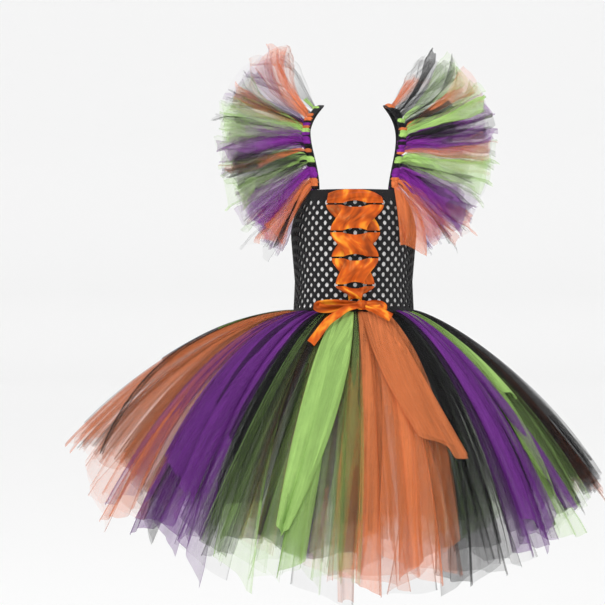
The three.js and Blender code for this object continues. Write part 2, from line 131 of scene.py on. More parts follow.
HALF_SPAN = math.pi / 2 - SEAM_ANGLE
CLOSED_LIFT = 0.0008
CLOSED_SIZE = 0.02
MERGE_DISTANCE = 2e-5
# Rings of each cell's yarn from its outline in to the gap: share of the way, and height off the tube
YARN_RINGS = [(1.0, 0.0009), (0.62, 0.00105), (0.28, 0.00065), (0.05, -0.0001), (0.0, -0.0009)]


def bodice_point(azimuth, z, outward):
    half_width = np.interp(z, BODICE_Z, BODICE_HALF_WIDTH) + outward
    half_depth = np.interp(z, BODICE_Z, BODICE_HALF_DEPTH) + outward
    return np.stack([half_width * np.sin(azimuth), -half_depth * np.cos(azimuth), z], axis=-1)


def upper_edge(azimuth):
    """Height of the tube's upper edge: level at the neck and scooped under each arm."""
    turned = np.abs(np.arctan2(np.sin(azimuth), np.cos(azimuth)))
    from_side = np.abs(turned - math.pi / 2)
    level = np.where(turned < math.pi / 2, NECK_Z, BACK_NECK_Z)
    rise = np.clip(from_side / (math.pi / 2 - SCOOP_START), 0, 1)
    return UNDERARM_Z + (level - UNDERARM_Z) * np.sin(rise * math.pi / 2) ** 1.4


def add_node(tree, kind, sockets, **settings):
    node = tree.nodes.new(f"ShaderNode{kind}")
    for setting, value in settings.items():
        setattr(node, setting, value)
    fill_sockets(tree, node, sockets)
    return node


def math_node(tree, operation, *values):
    return add_node(tree, "Math", dict(enumerate(values)), operation=operation).outputs[0]


def mapped(tree, value, from_range, to_range):
    sockets = {"Value": value, "From Min": from_range[0], "From Max": from_range[1]}
    sockets.update({"To Min": to_range[0], "To Max": to_range[1]})
    return add_node(tree, "MapRange", sockets).outputs[0]


def shaded_colour(tree, colour, shade):
    return add_node(tree, "VectorMath", {0: colour, "Scale": shade}, operation="SCALE").outputs[0]


def weave_vector(tree):
    return add_node(tree, "Attribute", {}, attribute_name="weave").outputs["Vector"]


def crochet_material():
    material, tree, shader = new_material("black_crochet")
    weave = weave_vector(tree)
    strands = {"Vector": weave, "Scale": 260, "Distortion": 2.0, "Detail": 1.0, "Detail Scale": 1.5}
    ribs = add_node(tree, "TexWave", strands, wave_type="BANDS", bands_direction="DIAGONAL")
    fluff = add_node(tree, "TexNoise", {"Vector": weave, "Scale": 900})
    height = math_node(tree, "MULTIPLY_ADD", fluff.outputs[0], 0.35, ribs.outputs["Fac"])
    bump = add_node(tree, "Bump", {"Strength": 0.8, "Distance": 0.0006, "Height": height})
    # Painted shade and light: the yarn is darker in the grooves between its ribs and lighter on their crests,
    # with random tone from the fluff noise.
    tone = mapped(tree, height, (0.0, 1.0), (0.55, 1.35))
    fill_sockets(tree, shader, {
        "Base Color": shaded_colour(tree, (0.0115, 0.0115, 0.0125), tone),
        "Roughness": 0.88,
        "Sheen Weight": 0.12,
        "Specular IOR Level": 0.2,
        "Normal": bump.outputs[0],
    })
    return material


BLACK_CROCHET = crochet_material()


def keep_values(mesh, name, kind, field, values):
    mesh.attributes.new(name, kind, "POINT")
    mesh.attributes[name].data.foreach_set(field, np.ravel(values))


def dress_piece(name, mesh, material, nodes):
    """Adds the mesh to the dress as one piece, in place of the plain solids that nodes names."""
    mesh.materials.append(material)
    mesh.shade_smooth()
    piece = bpy.data.objects.new(name, mesh)
    bpy.context.scene.collection.objects.link(piece)
    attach(piece, "root")
    if nodes:
        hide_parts(*nodes)
    return piece


def crochet_half(name, centre):
    """One half of the tube as a net of six-sided cells, each with an oval gap in rounded yarn."""
    top = NECK_Z - LOW_EDGE_Z
    corner = (GAP_PITCH**2 / 4 + ROW_HEIGHT**2) / 2
    side_y = (corner - GAP_PITCH**2 / 4) / ROW_HEIGHT
    rim = [(GAP_PITCH / 2, side_y), (0, corner / ROW_HEIGHT), (-GAP_PITCH / 2, side_y)]
    rim = np.array(rim + [(-x, -y) for x, y in rim])
    between = (rim + np.roll(rim, -1, axis=0)) / 2
    outline = np.stack([rim, between], axis=1).reshape(-1, 2)
    angle = np.arctan2(outline[:, 1] / GAP_HALF_HEIGHT, outline[:, 0] / GAP_HALF_WIDTH)
    gap = np.stack([GAP_HALF_WIDTH * np.cos(angle), GAP_HALF_HEIGHT * np.sin(angle)], axis=1)
    rng = np.random.default_rng(11 + int(centre))
    vertices = []
    weave = []
    faces = []
    for row in range(-1, GAP_ROWS + CLOSED_ROWS):
        for column in range(-1, GAPS_ACROSS + 1):
            middle = np.array([(column + 0.5 * (row % 2)) * GAP_PITCH, (row + 0.5) * ROW_HEIGHT])
            closed = row >= GAP_ROWS or row < 1
            uneven = gap * rng.uniform(0.82, 1.12, (1, 2))
            first = len(vertices)
            for share, lift in YARN_RINGS:
                inner = uneven * (CLOSED_SIZE if closed else 1.0)
                flat = middle + inner + (outline - inner) * share
                flat_x = np.clip(flat[:, 0] / (GAPS_ACROSS * GAP_PITCH), 0, 1)
                flat_y = np.clip(flat[:, 1], 0, top) / top
                azimuth = centre - HALF_SPAN + 2 * HALF_SPAN * flat_x
                z = LOW_EDGE_Z + (upper_edge(azimuth) - LOW_EDGE_Z) * flat_y
                out = CLOSED_LIFT if closed else lift
                vertices.extend(bodice_point(azimuth, z, out).tolist())
                weave.extend([(x, y, 0.0) for x, y in flat.tolist()])
            count = len(outline)
            for ring in range(len(YARN_RINGS) - 1):
                for place in range(count):
                    following = (place + 1) % count
                    low = first + ring * count
                    high = low + count
                    faces.append((low + place, low + following, high + following, high + place))
    mesh = bpy.data.meshes.new(name)
    mesh.from_pydata(vertices, [], faces)
    keep_values(mesh, "weave", "FLOAT_VECTOR", "vector", np.array(weave))
    shape = bmesh.new()
    shape.from_mesh(mesh)
    bmesh.ops.remove_doubles(shape, verts=shape.verts, dist=MERGE_DISTANCE)
    bmesh.ops.dissolve_degenerate(shape, edges=shape.edges, dist=MERGE_DISTANCE)
    bmesh.ops.recalc_face_normals(shape, faces=shape.faces)
    shape.to_mesh(mesh)
    shape.free()
    piece = dress_piece(name, mesh, BLACK_CROCHET, [name])


crochet_half("bodice_front", 0.0)
crochet_half("bodice_back", math.pi)


# Lining: a thin pale knit tube just inside the crochet, which shows through all its gaps.
# It is caught to the crochet along the neck edge and at the waist.
LINING_INSIDE = 0.0017
LINING_BELOW_EDGE = 0.005
LINING_ABOVE_WAIST = 0.007


def knit_material():
    material, tree, shader = new_material("pale_lining")
    wales = {"Vector": weave_vector(tree), "Scale": 300, "Distortion": 1.5}
    knit = add_node(tree, "TexWave", wales, bands_direction="X").outputs["Fac"]
    bump = add_node(tree, "Bump", {"Strength": 0.4, "Distance": 0.0003, "Height": knit})
    # Painted shade: the knit is a little darker in its grooves.
    tone = mapped(tree, knit, (0.0, 1.0), (0.92, 1.0))
    fill_sockets(tree, shader, {
        "Base Color": shaded_colour(tree, (0.88, 0.87, 0.86), tone),
        "Roughness": 0.9,
        "Normal": bump.outputs[0],
    })
    return material


def grid_faces(rows, columns, first):
    """Four-sided faces of a grid of points, whose first point has the index first."""
    corner = np.arange(rows * columns).reshape(rows, columns)[:-1, :-1].ravel() + first
    return np.stack([corner, corner + 1, corner + columns + 1, corner + columns], axis=1)


def spans(points, axis):
    """Distance along a grid of points from its first row or column, in metres."""
    steps = np.linalg.norm(np.diff(points, axis=axis), axis=2)
    start = np.zeros_like(np.take(steps, [0], axis=axis))
    return np.concatenate([start, np.cumsum(steps, axis=axis)], axis=axis)


def make_cloth(name, sheets, material, nodes):
    """Adds a cloth piece made of thin sheets, each a grid of points. A sheet keeps its own weave
    directions in metres, and how densely its cloth is gathered at each point."""
    vertices = np.concatenate([points.reshape(-1, 3) for points, dense in sheets])
    faces = []
    weave = []
    first = 0
    for number, (points, dense) in enumerate(sheets):
        rows, columns = points.shape[:2]
        faces.append(grid_faces(rows, columns, first))
        across = spans(points, 1)
        along = spans(points, 0)
        weave.append(np.stack([across, along, np.full_like(across, number)], axis=2).reshape(-1, 3))
        first += rows * columns
    mesh = bpy.data.meshes.new(name)
    mesh.from_pydata(vertices.tolist(), [], np.concatenate(faces).tolist())
    keep_values(mesh, "weave", "FLOAT_VECTOR", "vector", np.concatenate(weave))
    keep_values(mesh, "dense", "FLOAT", "value", np.concatenate([dense.ravel() for points, dense in sheets]))
    piece = dress_piece(name, mesh, material, nodes)


def whole(points):
    """A sheet of close cloth, which lets nothing through."""
    return points, np.ones(points.shape[:2])


lining_azimuth = np.linspace(0, 2 * math.pi, 97)[None, :]
lining_share = np.linspace(0, 1, 25)[:, None]
lining_top = upper_edge(lining_azimuth) - LINING_BELOW_EDGE
lining_low = WAIST_Z + LINING_ABOVE_WAIST
lining_z = lining_low + (lining_top - lining_low) * lining_share
lining_points = bodice_point(np.broadcast_to(lining_azimuth, lining_z.shape), lining_z, -LINING_INSIDE)
make_cloth("lining", [whole(lining_points)], knit_material(), ["lining"])


# Straps: a black elastic band on each side, from the front neck edge over the shoulder to the back.
# It is ribbed as the crochet is, and the sleeves' tulle is knotted round it.
STRAP_AZIMUTH = math.radians(42)
STRAP_WIDTH = 0.009
STRAP_THICK = 0.002
STRAP_BASE_LIFT = 0.0004


def strap_point(s):
    """Centre of the band on the positive side, from its front base at 0 to its back base at 1."""
    s = np.clip(np.asarray(s, dtype=float), 0, 1)
    turn = np.pi * s
    front = bodice_point(STRAP_AZIMUTH, np.array(NECK_Z), 0.0)
    back = bodice_point(math.pi - STRAP_AZIMUTH, np.array(BACK_NECK_Z), 0.0)
    front[2] += STRAP_BASE_LIFT
    back[2] += STRAP_BASE_LIFT
    base = np.array([front[0], -front[1], front[2]]) * (1 - s)[..., None] + back * s[..., None]
    bow = 0.014 * np.sin(2 * turn) ** 2 - 0.008 * np.sin(turn) ** 4
    y = -base[..., 1] * np.cos(turn) * (1 + 0.3 * np.sin(turn))
    z = base[..., 2] + (STRAP_THICK / 2 - base[..., 2]) * np.sin(turn)
    return np.stack([base[..., 0] + bow, y, z], axis=-1)


def unit(vectors):
    return vectors / np.maximum(np.linalg.norm(vectors, axis=-1, keepdims=True), 1e-9)


strap_rows = np.linspace(0, 1, 70)
strap_centre = strap_point(strap_rows)
strap_along = unit(np.gradient(strap_centre, axis=0))
strap_out = unit(np.cross(np.array([1.0, 0.0, 0.0]), strap_along))
for side, label in [(-1, "left"), (1, "right")]:
    turn = np.linspace(0, 2 * math.pi, 17)
    flat_side = np.sign(np.cos(turn)) * np.abs(np.cos(turn)) ** 0.6 * STRAP_WIDTH / 2
    flat_out = np.sign(np.sin(turn)) * np.abs(np.sin(turn)) ** 0.8 * STRAP_THICK / 2
    points = strap_centre[:, None, :] + strap_out[:, None, :] * flat_out[None, :, None]
    points[..., 0] += flat_side[None, :]
    points[..., 0] *= side
    make_cloth(f"strap_{label}", [whole(points)], BLACK_CROCHET, [f"strap_{label}"])


# Tulle: a fine nylon net, sheer on its own and deeper where it is gathered or overlaps.
# Its threads, and the soft streaks that its pleats leave, run along each strip; in its colour the streaks are
# painted fold shade and highlight.
TULLE_WIDTH = 0.15
NARROWEST_ROW = 0.004


def streak_noise(group, weave, across, along):
    """Noise stretched along the strip, from -1 to 1; across and along count its waves in a metre."""
    stretched = add_node(group, "VectorMath", {0: weave, 1: (across, along, 31.7)}, operation="MULTIPLY")
    waves = {"Vector": stretched.outputs[0], "Scale": 1.0, "Detail": 3.0, "Roughness": 0.65}
    return mapped(group, add_node(group, "TexNoise", waves).outputs[0], (0.3, 0.7), (-1.0, 1.0))


def net_group():
    """The net's cover, from its threads and streaks, and its shade: random tone per sheet, with painted
    crease shade and light, deeper in the creases at the root, and painted fold shade and highlight along the
    streaks.
    """
    group = bpy.data.node_groups.new("tulle_net", "ShaderNodeTree")
    for label, value in [("Hole size", 0.0016), ("Streaks", 0.09)]:
        socket = group.interface.new_socket(name=label, in_out="INPUT", socket_type="NodeSocketFloat")
        socket.default_value = value
    for label in ["Cover", "Shade"]:
        group.interface.new_socket(name=label, in_out="OUTPUT", socket_type="NodeSocketFloat")
    taken = group.nodes.new("NodeGroupInput")
    given = group.nodes.new("NodeGroupOutput")
    weave = weave_vector(group)
    across, along, number = add_node(group, "SeparateXYZ", {0: weave}).outputs
    half = math_node(group, "MULTIPLY", taken.outputs["Hole size"], 0.5)
    rising = math_node(group, "PINGPONG", math_node(group, "ADD", across, along), half)
    falling = math_node(group, "PINGPONG", math_node(group, "SUBTRACT", across, along), half)
    from_thread = math_node(group, "DIVIDE", math_node(group, "MINIMUM", rising, falling), half)
    thread = mapped(group, from_thread, (0.12, 0.4), (1.0, 0.66))
    broad = streak_noise(group, weave, 160, 6)
    fine = streak_noise(group, weave, 520, 9)
    patch = streak_noise(group, weave, 45, 22)
    both = math_node(group, "MULTIPLY_ADD", fine, 0.45, broad)
    swing = math_node(group, "MULTIPLY", both, taken.outputs["Streaks"])
    lift = math_node(group, "ADD", 1.0, math_node(group, "MULTIPLY_ADD", patch, 0.14, swing))
    cover = math_node(group, "MULTIPLY", thread, lift)
    tone = add_node(group, "TexWhiteNoise", {"W": number}, noise_dimensions="1D")
    strip_tone = math_node(group, "MULTIPLY_ADD", tone.outputs["Value"], 0.34, 0.80)
    # Painted shade: near the root the broad streaks lighten and darken the colour most, standing in for the
    # shade of the gathered creases.
    root_crease_painted_shade = mapped(group, along, (0.0, 0.09), (0.30, 0.0))
    tone_and_painted_crease_shade = math_node(group, "MULTIPLY_ADD", broad, root_crease_painted_shade, strip_tone)
    # The streaks also lighten and darken the colour: painted fold shade and highlight along the pleats.
    shade = math_node(group, "MULTIPLY_ADD", swing, 0.8, tone_and_painted_crease_shade)
    fill_sockets(group, given, {"Cover": cover, "Shade": shade})
    return group


tulle_net = net_group()


def tulle_material(name, colour, streaks=0.09):
    """colour is linear. The net hides more where it is seen edge on, as at the turn of a fold."""
    material, tree, shader = new_material(name)
    net = tree.nodes.new("ShaderNodeGroup")
    net.node_tree = tulle_net
    net.inputs["Streaks"].default_value = streaks
    dense = add_node(tree, "Attribute", {}, attribute_name="dense").outputs["Fac"]
    facing = add_node(tree, "LayerWeight", {"Blend": 0.5}).outputs["Facing"]
    turned = math_node(tree, "POWER", facing, 3.0)
    edge_on = math_node(tree, "MULTIPLY", turned, math_node(tree, "SUBTRACT", 1.0, dense))
    hidden = math_node(tree, "MULTIPLY_ADD", edge_on, 0.42, dense)
    covered = math_node(tree, "MULTIPLY", hidden, net.outputs["Cover"])
    lifted = math_node(tree, "MULTIPLY", covered, 1.18)
    # The colour is scaled by the net's shade, which holds painted crease and fold shade and highlight as well
    # as random tone per sheet.
    fill_sockets(tree, shader, {
        "Base Color": shaded_colour(tree, colour, net.outputs["Shade"]),
        "Roughness": 0.7,
        "Specular IOR Level": 0.12,
        "Alpha": math_node(tree, "MINIMUM", lifted, 1.0),
    })
    return material


TULLE = {
    "orange": tulle_material("orange_tulle", (0.70, 0.205, 0.072)),
    "purple": tulle_material("purple_tulle", (0.145, 0.028, 0.225)),
    "green": tulle_material("green_tulle", (0.36, 0.58, 0.165)),
    "black": tulle_material("black_tulle", (0.013, 0.013, 0.014)),
}
SLEEVE_TULLE = {
    "orange": tulle_material("sleeve_orange_tulle", (0.76, 0.200, 0.065), 0.05),
    "purple": tulle_material("sleeve_purple_tulle", (0.205, 0.022, 0.285), 0.05),
    "green": tulle_material("sleeve_green_tulle", (0.40, 0.65, 0.17), 0.05),
    "black": tulle_material("sleeve_black_tulle", (0.013, 0.013, 0.014), 0.07),
}


def fold_shifts(rng, u, t, folds, overlap, small_share=0.10):
    """Shifts of a gathered strip: sideways in shares of its width, and outwards from -1 to 1.
    Its folds lie on each other where overlap, the depth of a fold over its spacing, is over 1."""
    bent = u + 0.07 * np.sin(2 * math.pi * (u + rng.random()))
    bent = bent + 0.03 * np.sin(4 * math.pi * (u + rng.random()))
    phase = 2 * math.pi * (folds * bent + rng.random()) + 0.7 * np.sin(2.2 * t + 6 * rng.random())
    small = 2 * math.pi * (2.7 * folds * bent + rng.random()) + 0.9 * np.sin(3.5 * t + 6 * rng.random())
    sideways = overlap / (2 * math.pi * folds) * (np.sin(phase) + small_share * np.sin(small))
    outwards = np.cos(phase) + 2 * small_share * np.cos(small)
    return sideways, outwards / (1 + 2 * small_share)


def gathered_cover(points, cover, edge, most=5.0, cloth_width=TULLE_WIDTH):
    """How much a strip hides in each row: cover is one flat layer's share, edge adds to its cut edges,
    and most is the largest number of layers that its gathers count as."""
    row_width = spans(points, 1)[:, -1:]
    layers = np.clip(cloth_width / np.maximum(row_width, NARROWEST_ROW), 1.0, most)
    dense = 1 - (1 - cover) ** layers * np.ones(points.shape[:2])
    dense[:, [0, 1, -2, -1]] += edge * (1 - dense[:, [0, 1, -2, -1]])
    return dense


# Sleeves: tulle strips knotted round each strap, which stand out in a fan over the shoulder.
# The strips are gathered tight at the band, open into ruffles and end in slanted cuts.
FAN_S = [0.0, 0.12, 0.25, 0.38, 0.45, 0.53, 0.62, 0.75, 0.88, 1.0]
FAN_LIFT = [-54, -38, -15, 12, 38, 64, 34, -4, -32, -52]
FAN_AHEAD = [30, 36, 30, 16, 8, -2, -16, -30, -36, -30]
FAN_LENGTH = [0.094, 0.142, 0.138, 0.128, 0.118, 0.102, 0.120, 0.130, 0.130, 0.092]
KNOT_CLEARANCE = 0.0012
SLEEVE_CLOTH = 0.075


def fan_point(s, r):
    """Point of the fan on the positive side at share s of the strap and share r of a strip."""
    lift = np.radians(np.interp(s, FAN_S, FAN_LIFT))
    ahead = np.radians(np.interp(s, FAN_S, FAN_AHEAD))
    length = np.interp(s, FAN_S, FAN_LENGTH)
    direction = np.stack([np.cos(lift) * np.cos(ahead), -np.cos(lift) * np.sin(ahead), np.sin(lift)], axis=-1)
    root = strap_point(s)
    root[..., 0] += STRAP_WIDTH / 2 + KNOT_CLEARANCE
    place = root + direction * (length * r)[..., None]
    place[..., 2] -= 0.010 * r**2
    return place


def sheet_shares(columns, rows, power=1.0):
    """Shares across and along a sheet. A power over 1 sets its rows closer together at the root."""
    return np.linspace(0, 1, columns)[None, :], (np.linspace(0, 1, rows) ** power)[:, None]


def sleeve_sheet(side, knot, end, reach, slant, folds, cover, lift, seed):
    """One strip of a sleeve; knot and end hold the shares of the strap it covers there and at its tip."""
    rng = np.random.default_rng(seed)
    u, v = sheet_shares(28 + int(10 * folds), 27, 1.15)
    cut = reach * (1 + slant * (2 * u - 1) + 0.025 * np.sin(2 * math.pi * (1.3 * u + rng.random())))
    r = v * cut
    ease = np.clip(r, 0, 1) ** 0.55
    sideways, outwards = fold_shifts(rng, u, r, folds, 1.25, 0.05)
    from_edge = np.minimum(u, 1 - u)
    rolled = np.clip(1 - from_edge / 0.06, 0, 1)
    inward = u + np.where(u < 0.5, 1.0, -1.0) * 0.07 * rolled**1.5
    place_in = inward + sideways * np.clip(2 * r, 0, 1)
    wander = 0.010 * np.sin(2.5 * r + 6 * rng.random()) * r
    ripple = 0.0035 * np.sin(2 * math.pi * (2.1 * r + 0.7 * u + rng.random())) * r
    low = knot[0] + (end[0] - knot[0]) * ease
    high = knot[1] + (end[1] - knot[1]) * ease
    s = np.clip(low + (high - low) * place_in + wander + ripple, 0.004, 0.996)
    s, r = np.broadcast_arrays(s, r)
    ahead = unit(fan_point(np.clip(s + 0.01, 0, 1), r + 0.02) - fan_point(np.clip(s - 0.01, 0, 1), r + 0.02))
    along = unit(fan_point(s, r + 0.02) - fan_point(s, r))
    face = unit(np.cross(along, ahead))
    crinkle = np.sin(2 * math.pi * (3.3 * u + 3.1 * r + rng.random()))
    crinkle = crinkle + 0.7 * np.sin(2 * math.pi * (5.1 * u - 4.3 * r + rng.random()))
    swell = 0.0070 * outwards * np.clip(r, 0.08, 1) + lift * r**1.4 + 0.0010 * crinkle * r
    swell = swell + 0.006 * r * np.sin(4 * r + 6 * rng.random())
    points = fan_point(s, r) + face * swell[..., None]
    points[..., 0] *= side
    return points, gathered_cover(points, cover, 0.14, 9.0, SLEEVE_CLOTH)


def knot_sheet(side, begin, stop, girth):
    """The strip's knot: a soft roll of gathered tulle wound round the band."""
    s = np.linspace(begin - 0.004, stop + 0.004, 11)
    turn = np.linspace(0, 2 * math.pi, 25)
    along = unit(strap_point(s + 0.004) - strap_point(s - 0.004))
    out = unit(np.cross(np.array([1.0, 0.0, 0.0]), along))
    bulge = np.clip(np.sin(np.linspace(0.03, 0.97, 11) * math.pi), 0, 1) ** 0.35
    crease = 1 + 0.10 * np.cos(3 * turn[None, :] + 400 * s[:, None])
    crease = crease + 0.09 * np.cos(7 * turn[None, :] - 700 * s[:, None])
    wide = girth * bulge[:, None] * crease * np.cos(turn)[None, :]
    thick = 0.6 * girth * bulge[:, None] * crease * np.sin(turn)[None, :]
    points = strap_point(s)[:, None, :] + out[:, None, :] * thick[..., None]
    points[..., 0] += wide + 0.0022
    points[..., 0] *= side
    return points, np.full(points.shape[:2], 0.93)


def hanging_sheet(knot, tip, seed):
    """A broad strip that hangs from its knot down the side of the bodice, slightly open at the bottom."""
    rng = np.random.default_rng(seed)
    u, v = sheet_shares(40, 24)
    sideways, outwards = fold_shifts(rng, u, v, 1.3, 1.2)
    across = u + sideways * v
    spread = v**0.7
    points = np.zeros((*across.shape, 3))
    for axis in range(3):
        low = tip[0][axis] + (tip[1][axis] - tip[0][axis]) * across
        points[..., axis] = knot[axis] + (low - knot[axis]) * (v if axis == 2 else spread)
    points[..., 1] -= 0.004 * outwards * v + 0.010 * np.sin(math.pi * v)
    points[..., 0] += 0.013 * np.sin(math.pi * v) * u
    points[..., 2] += 0.006 * np.sin(2 * math.pi * (0.6 * u + 0.1)) * v
    return points, gathered_cover(points, 0.30, 0.35)


# Strips of each sleeve from the front base upwards: the piece, the shares of the strap that the knot
# and the tip cover, reach, slant, folds, cover of one layer and lift off the fan in metres.
# Each strip is two layers: the gathered core, and a wider and sheerer veil beside it.
CORE_SHARE = 0.90
VEIL_SHARE = 0.45
VEIL_SPREAD = 0.028
NARROW_TIP = 0.03
NARROW_KNOT = 0.008
SLEEVE_STRIPS = {
    "left": [
        ("orange_low", (0.008, 0.027), (0.000, 0.088), 0.97, 0.10, 1.1, 0.34, 0.004),
        ("orange_low", (0.021, 0.040), (0.018, 0.098), 0.87, -0.12, 0.8, 0.30, 0.008),
        ("purple_low", (0.047, 0.069), (0.079, 0.145), 0.95, 0.10, 1.4, 0.24, 0.002),
        ("purple_low", (0.059, 0.078), (0.088, 0.135), 0.83, -0.10, 1.1, 0.32, 0.006),
        ("purple_low", (0.052, 0.084), (0.061, 0.165), 0.89, 0.06, 1.7, 0.09, -0.003),
        ("green", (0.102, 0.122), (0.135, 0.227), 0.94, 0.08, 1.4, 0.24, 0.002),
        ("green", (0.106, 0.125), (0.165, 0.268), 0.97, -0.08, 1.7, 0.20, -0.004),
        ("purple_mid", (0.180, 0.196), (0.243, 0.301), 0.97, 0.06, 1.1, 0.40, 0.003),
        ("purple_mid", (0.189, 0.208), (0.235, 0.333), 0.89, -0.08, 1.7, 0.26, -0.004),
        ("green_high", (0.227, 0.243), (0.279, 0.381), 0.95, 0.07, 1.4, 0.24, 0.002),
        ("green_high", (0.230, 0.249), (0.311, 0.429), 0.89, -0.06, 1.7, 0.20, -0.003),
        ("green_high", (0.230, 0.249), (0.268, 0.357), 0.99, 0.06, 1.1, 0.14, 0.006),
        ("black_high", (0.266, 0.282), (0.363, 0.405), 0.93, -0.08, 1.2, 0.16, 0.002),
        ("black_high", (0.276, 0.292), (0.405, 0.488), 0.86, 0.08, 1.0, 0.04, -0.003),
        ("orange_top", (0.295, 0.314), (0.465, 0.540), 0.97, 0.08, 1.1, 0.22, 0.004),
        ("orange_top", (0.326, 0.342), (0.488, 0.550), 1.03, -0.10, 0.8, 0.24, 0.000),
    ],
    "right": [
        ("orange_low", (0.009, 0.035), (0.056, 0.093), 1.00, -0.12, 0.8, 0.26, 0.004),
        ("purple_low", (0.044, 0.066), (0.056, 0.130), 0.91, 0.10, 1.4, 0.34, 0.002),
        ("purple_low", (0.052, 0.075), (0.084, 0.148), 0.97, -0.08, 1.1, 0.42, 0.006),
        ("purple_low", (0.049, 0.081), (0.112, 0.167), 0.93, 0.08, 1.1, 0.24, -0.003),
        ("green", (0.098, 0.114), (0.158, 0.249), 0.99, 0.08, 1.4, 0.30, 0.004),
        ("green", (0.101, 0.121), (0.185, 0.269), 1.00, -0.08, 1.7, 0.24, -0.004),
        ("purple_mid", (0.159, 0.179), (0.249, 0.308), 0.97, 0.07, 1.4, 0.36, 0.002),
        ("purple_mid", (0.178, 0.197), (0.318, 0.369), 0.99, -0.05, 1.1, 0.44, -0.003),
        ("green_high", (0.210, 0.226), (0.348, 0.390), 0.98, 0.04, 0.9, 0.42, 0.005),
        ("green_high", (0.224, 0.243), (0.369, 0.433), 0.95, -0.07, 1.4, 0.22, 0.000),
        ("black_high", (0.318, 0.340), (0.390, 0.482), 0.84, 0.10, 1.4, 0.14, 0.004),
        ("black_high", (0.364, 0.386), (0.433, 0.525), 0.80, -0.12, 1.1, 0.14, -0.002),
        ("orange_top", (0.412, 0.434), (0.480, 0.556), 0.52, 0.10, 1.1, 0.12, 0.003),
        ("orange_top", (0.446, 0.468), (0.500, 0.576), 0.44, -0.10, 1.1, 0.14, 0.000),
    ],
}
BACK_STRIPS = [
    ("black_back", (0.55, 0.58), (0.53, 0.62), 0.91, 0.08, 1.4, 0.14, 0.0),
    ("black_back", (0.61, 0.64), (0.59, 0.67), 0.95, -0.08, 1.4, 0.16, 0.0),
    ("black_back", (0.67, 0.70), (0.65, 0.73), 0.91, 0.06, 1.4, 0.18, 0.0),
    ("black_back", (0.72, 0.75), (0.70, 0.79), 0.95, -0.06, 1.4, 0.18, 0.0),
    ("purple_back", (0.77, 0.80), (0.75, 0.85), 0.93, 0.08, 1.4, 0.30, 0.0),
    ("purple_back", (0.83, 0.86), (0.82, 0.91), 0.95, -0.08, 1.4, 0.30, 0.0),
    ("purple_back", (0.88, 0.91), (0.87, 0.96), 0.91, 0.06, 1.4, 0.28, 0.0),
    ("purple_back", (0.93, 0.97), (0.92, 0.995), 0.95, -0.06, 1.4, 0.28, 0.0),
]
# Strips of another colour between the main ones, and narrow black strands along some folds
SLEEVE_BETWEEN = {
    "left": [
        ("orange", (0.142, 0.154), (0.214, 0.239), 0.95, 0.02, 0.6, 0.15, 0.002),
        ("orange", (0.251, 0.264), (0.375, 0.411), 0.90, 0.05, 0.8, 0.20, 0.004),
        ("black", (0.086, 0.102), (0.155, 0.227), 0.90, 0.08, 1.4, 0.34, 0.006),
        ("black", (0.129, 0.141), (0.202, 0.252), 0.88, -0.08, 1.4, 0.34, 0.006),
        ("black", (0.164, 0.174), (0.243, 0.301), 0.78, -0.08, 1.1, 0.18, 0.006),
        ("black", (0.042, 0.048), (0.031, 0.044), 0.99, 0.00, 0.5, 0.30, 0.012),
        ("black", (0.004, 0.016), (0.000, 0.044), 1.07, -0.10, 1.1, 0.08, -0.006),
        ("black", (0.212, 0.215), (0.322, 0.325), 1.07, 0.00, 0.5, 0.10, 0.008),
        ("black", (0.259, 0.266), (0.375, 0.411), 0.93, -0.05, 0.8, 0.10, 0.008),
        ("purple", (0.264, 0.276), (0.417, 0.510), 0.97, 0.10, 0.9, 0.07, 0.004),
        ("purple", (0.269, 0.281), (0.381, 0.477), 0.93, -0.08, 0.9, 0.07, -0.004),
        ("purple", (0.220, 0.229), (0.301, 0.369), 0.87, -0.06, 1.1, 0.10, 0.004),
        ("green", (0.401, 0.414), (0.483, 0.515), 0.16, 0.00, 0.8, 0.30, 0.0),
    ],
    "right": [
        ("orange", (0.137, 0.149), (0.235, 0.278), 0.97, 0.04, 1.1, 0.18, 0.002),
        ("orange", (0.241, 0.251), (0.385, 0.422), 0.97, 0.05, 0.8, 0.20, 0.006),
        ("orange", (0.027, 0.037), (0.107, 0.130), 1.02, -0.10, 0.8, 0.24, 0.008),
        ("black", (0.082, 0.098), (0.121, 0.176), 0.95, -0.08, 1.1, 0.22, 0.006),
        ("black", (0.170, 0.190), (0.278, 0.328), 0.96, 0.08, 1.2, 0.30, 0.006),
        ("black", (0.185, 0.204), (0.288, 0.328), 0.62, -0.10, 0.9, 0.44, 0.010),
        ("black", (0.259, 0.275), (0.364, 0.411), 0.60, -0.10, 1.1, 0.34, 0.008),
        ("black", (0.346, 0.355), (0.492, 0.503), 0.98, 0.00, 0.6, 0.34, 0.010),
        ("black", (0.276, 0.280), (0.446, 0.452), 0.97, 0.00, 0.5, 0.12, 0.012),
        ("black", (0.080, 0.084), (0.190, 0.194), 0.89, 0.00, 0.5, 0.12, 0.014),
        ("orange", (0.033, 0.043), (0.037, 0.080), 0.92, -0.10, 0.8, 0.16, 0.010),
        ("black", (0.019, 0.025), (0.056, 0.070), 1.08, 0.10, 0.6, 0.12, 0.008),
        ("green", (0.286, 0.304), (0.411, 0.482), 0.93, 0.08, 1.1, 0.16, 0.004),
        ("purple", (0.140, 0.154), (0.269, 0.308), 0.95, -0.05, 1.1, 0.20, 0.006),
    ],
}
HANGING_KNOT = 0.022
HANGING_TIP = [(0.0600, -0.0560, -0.2030), (0.0980, -0.0340, -0.2090)]
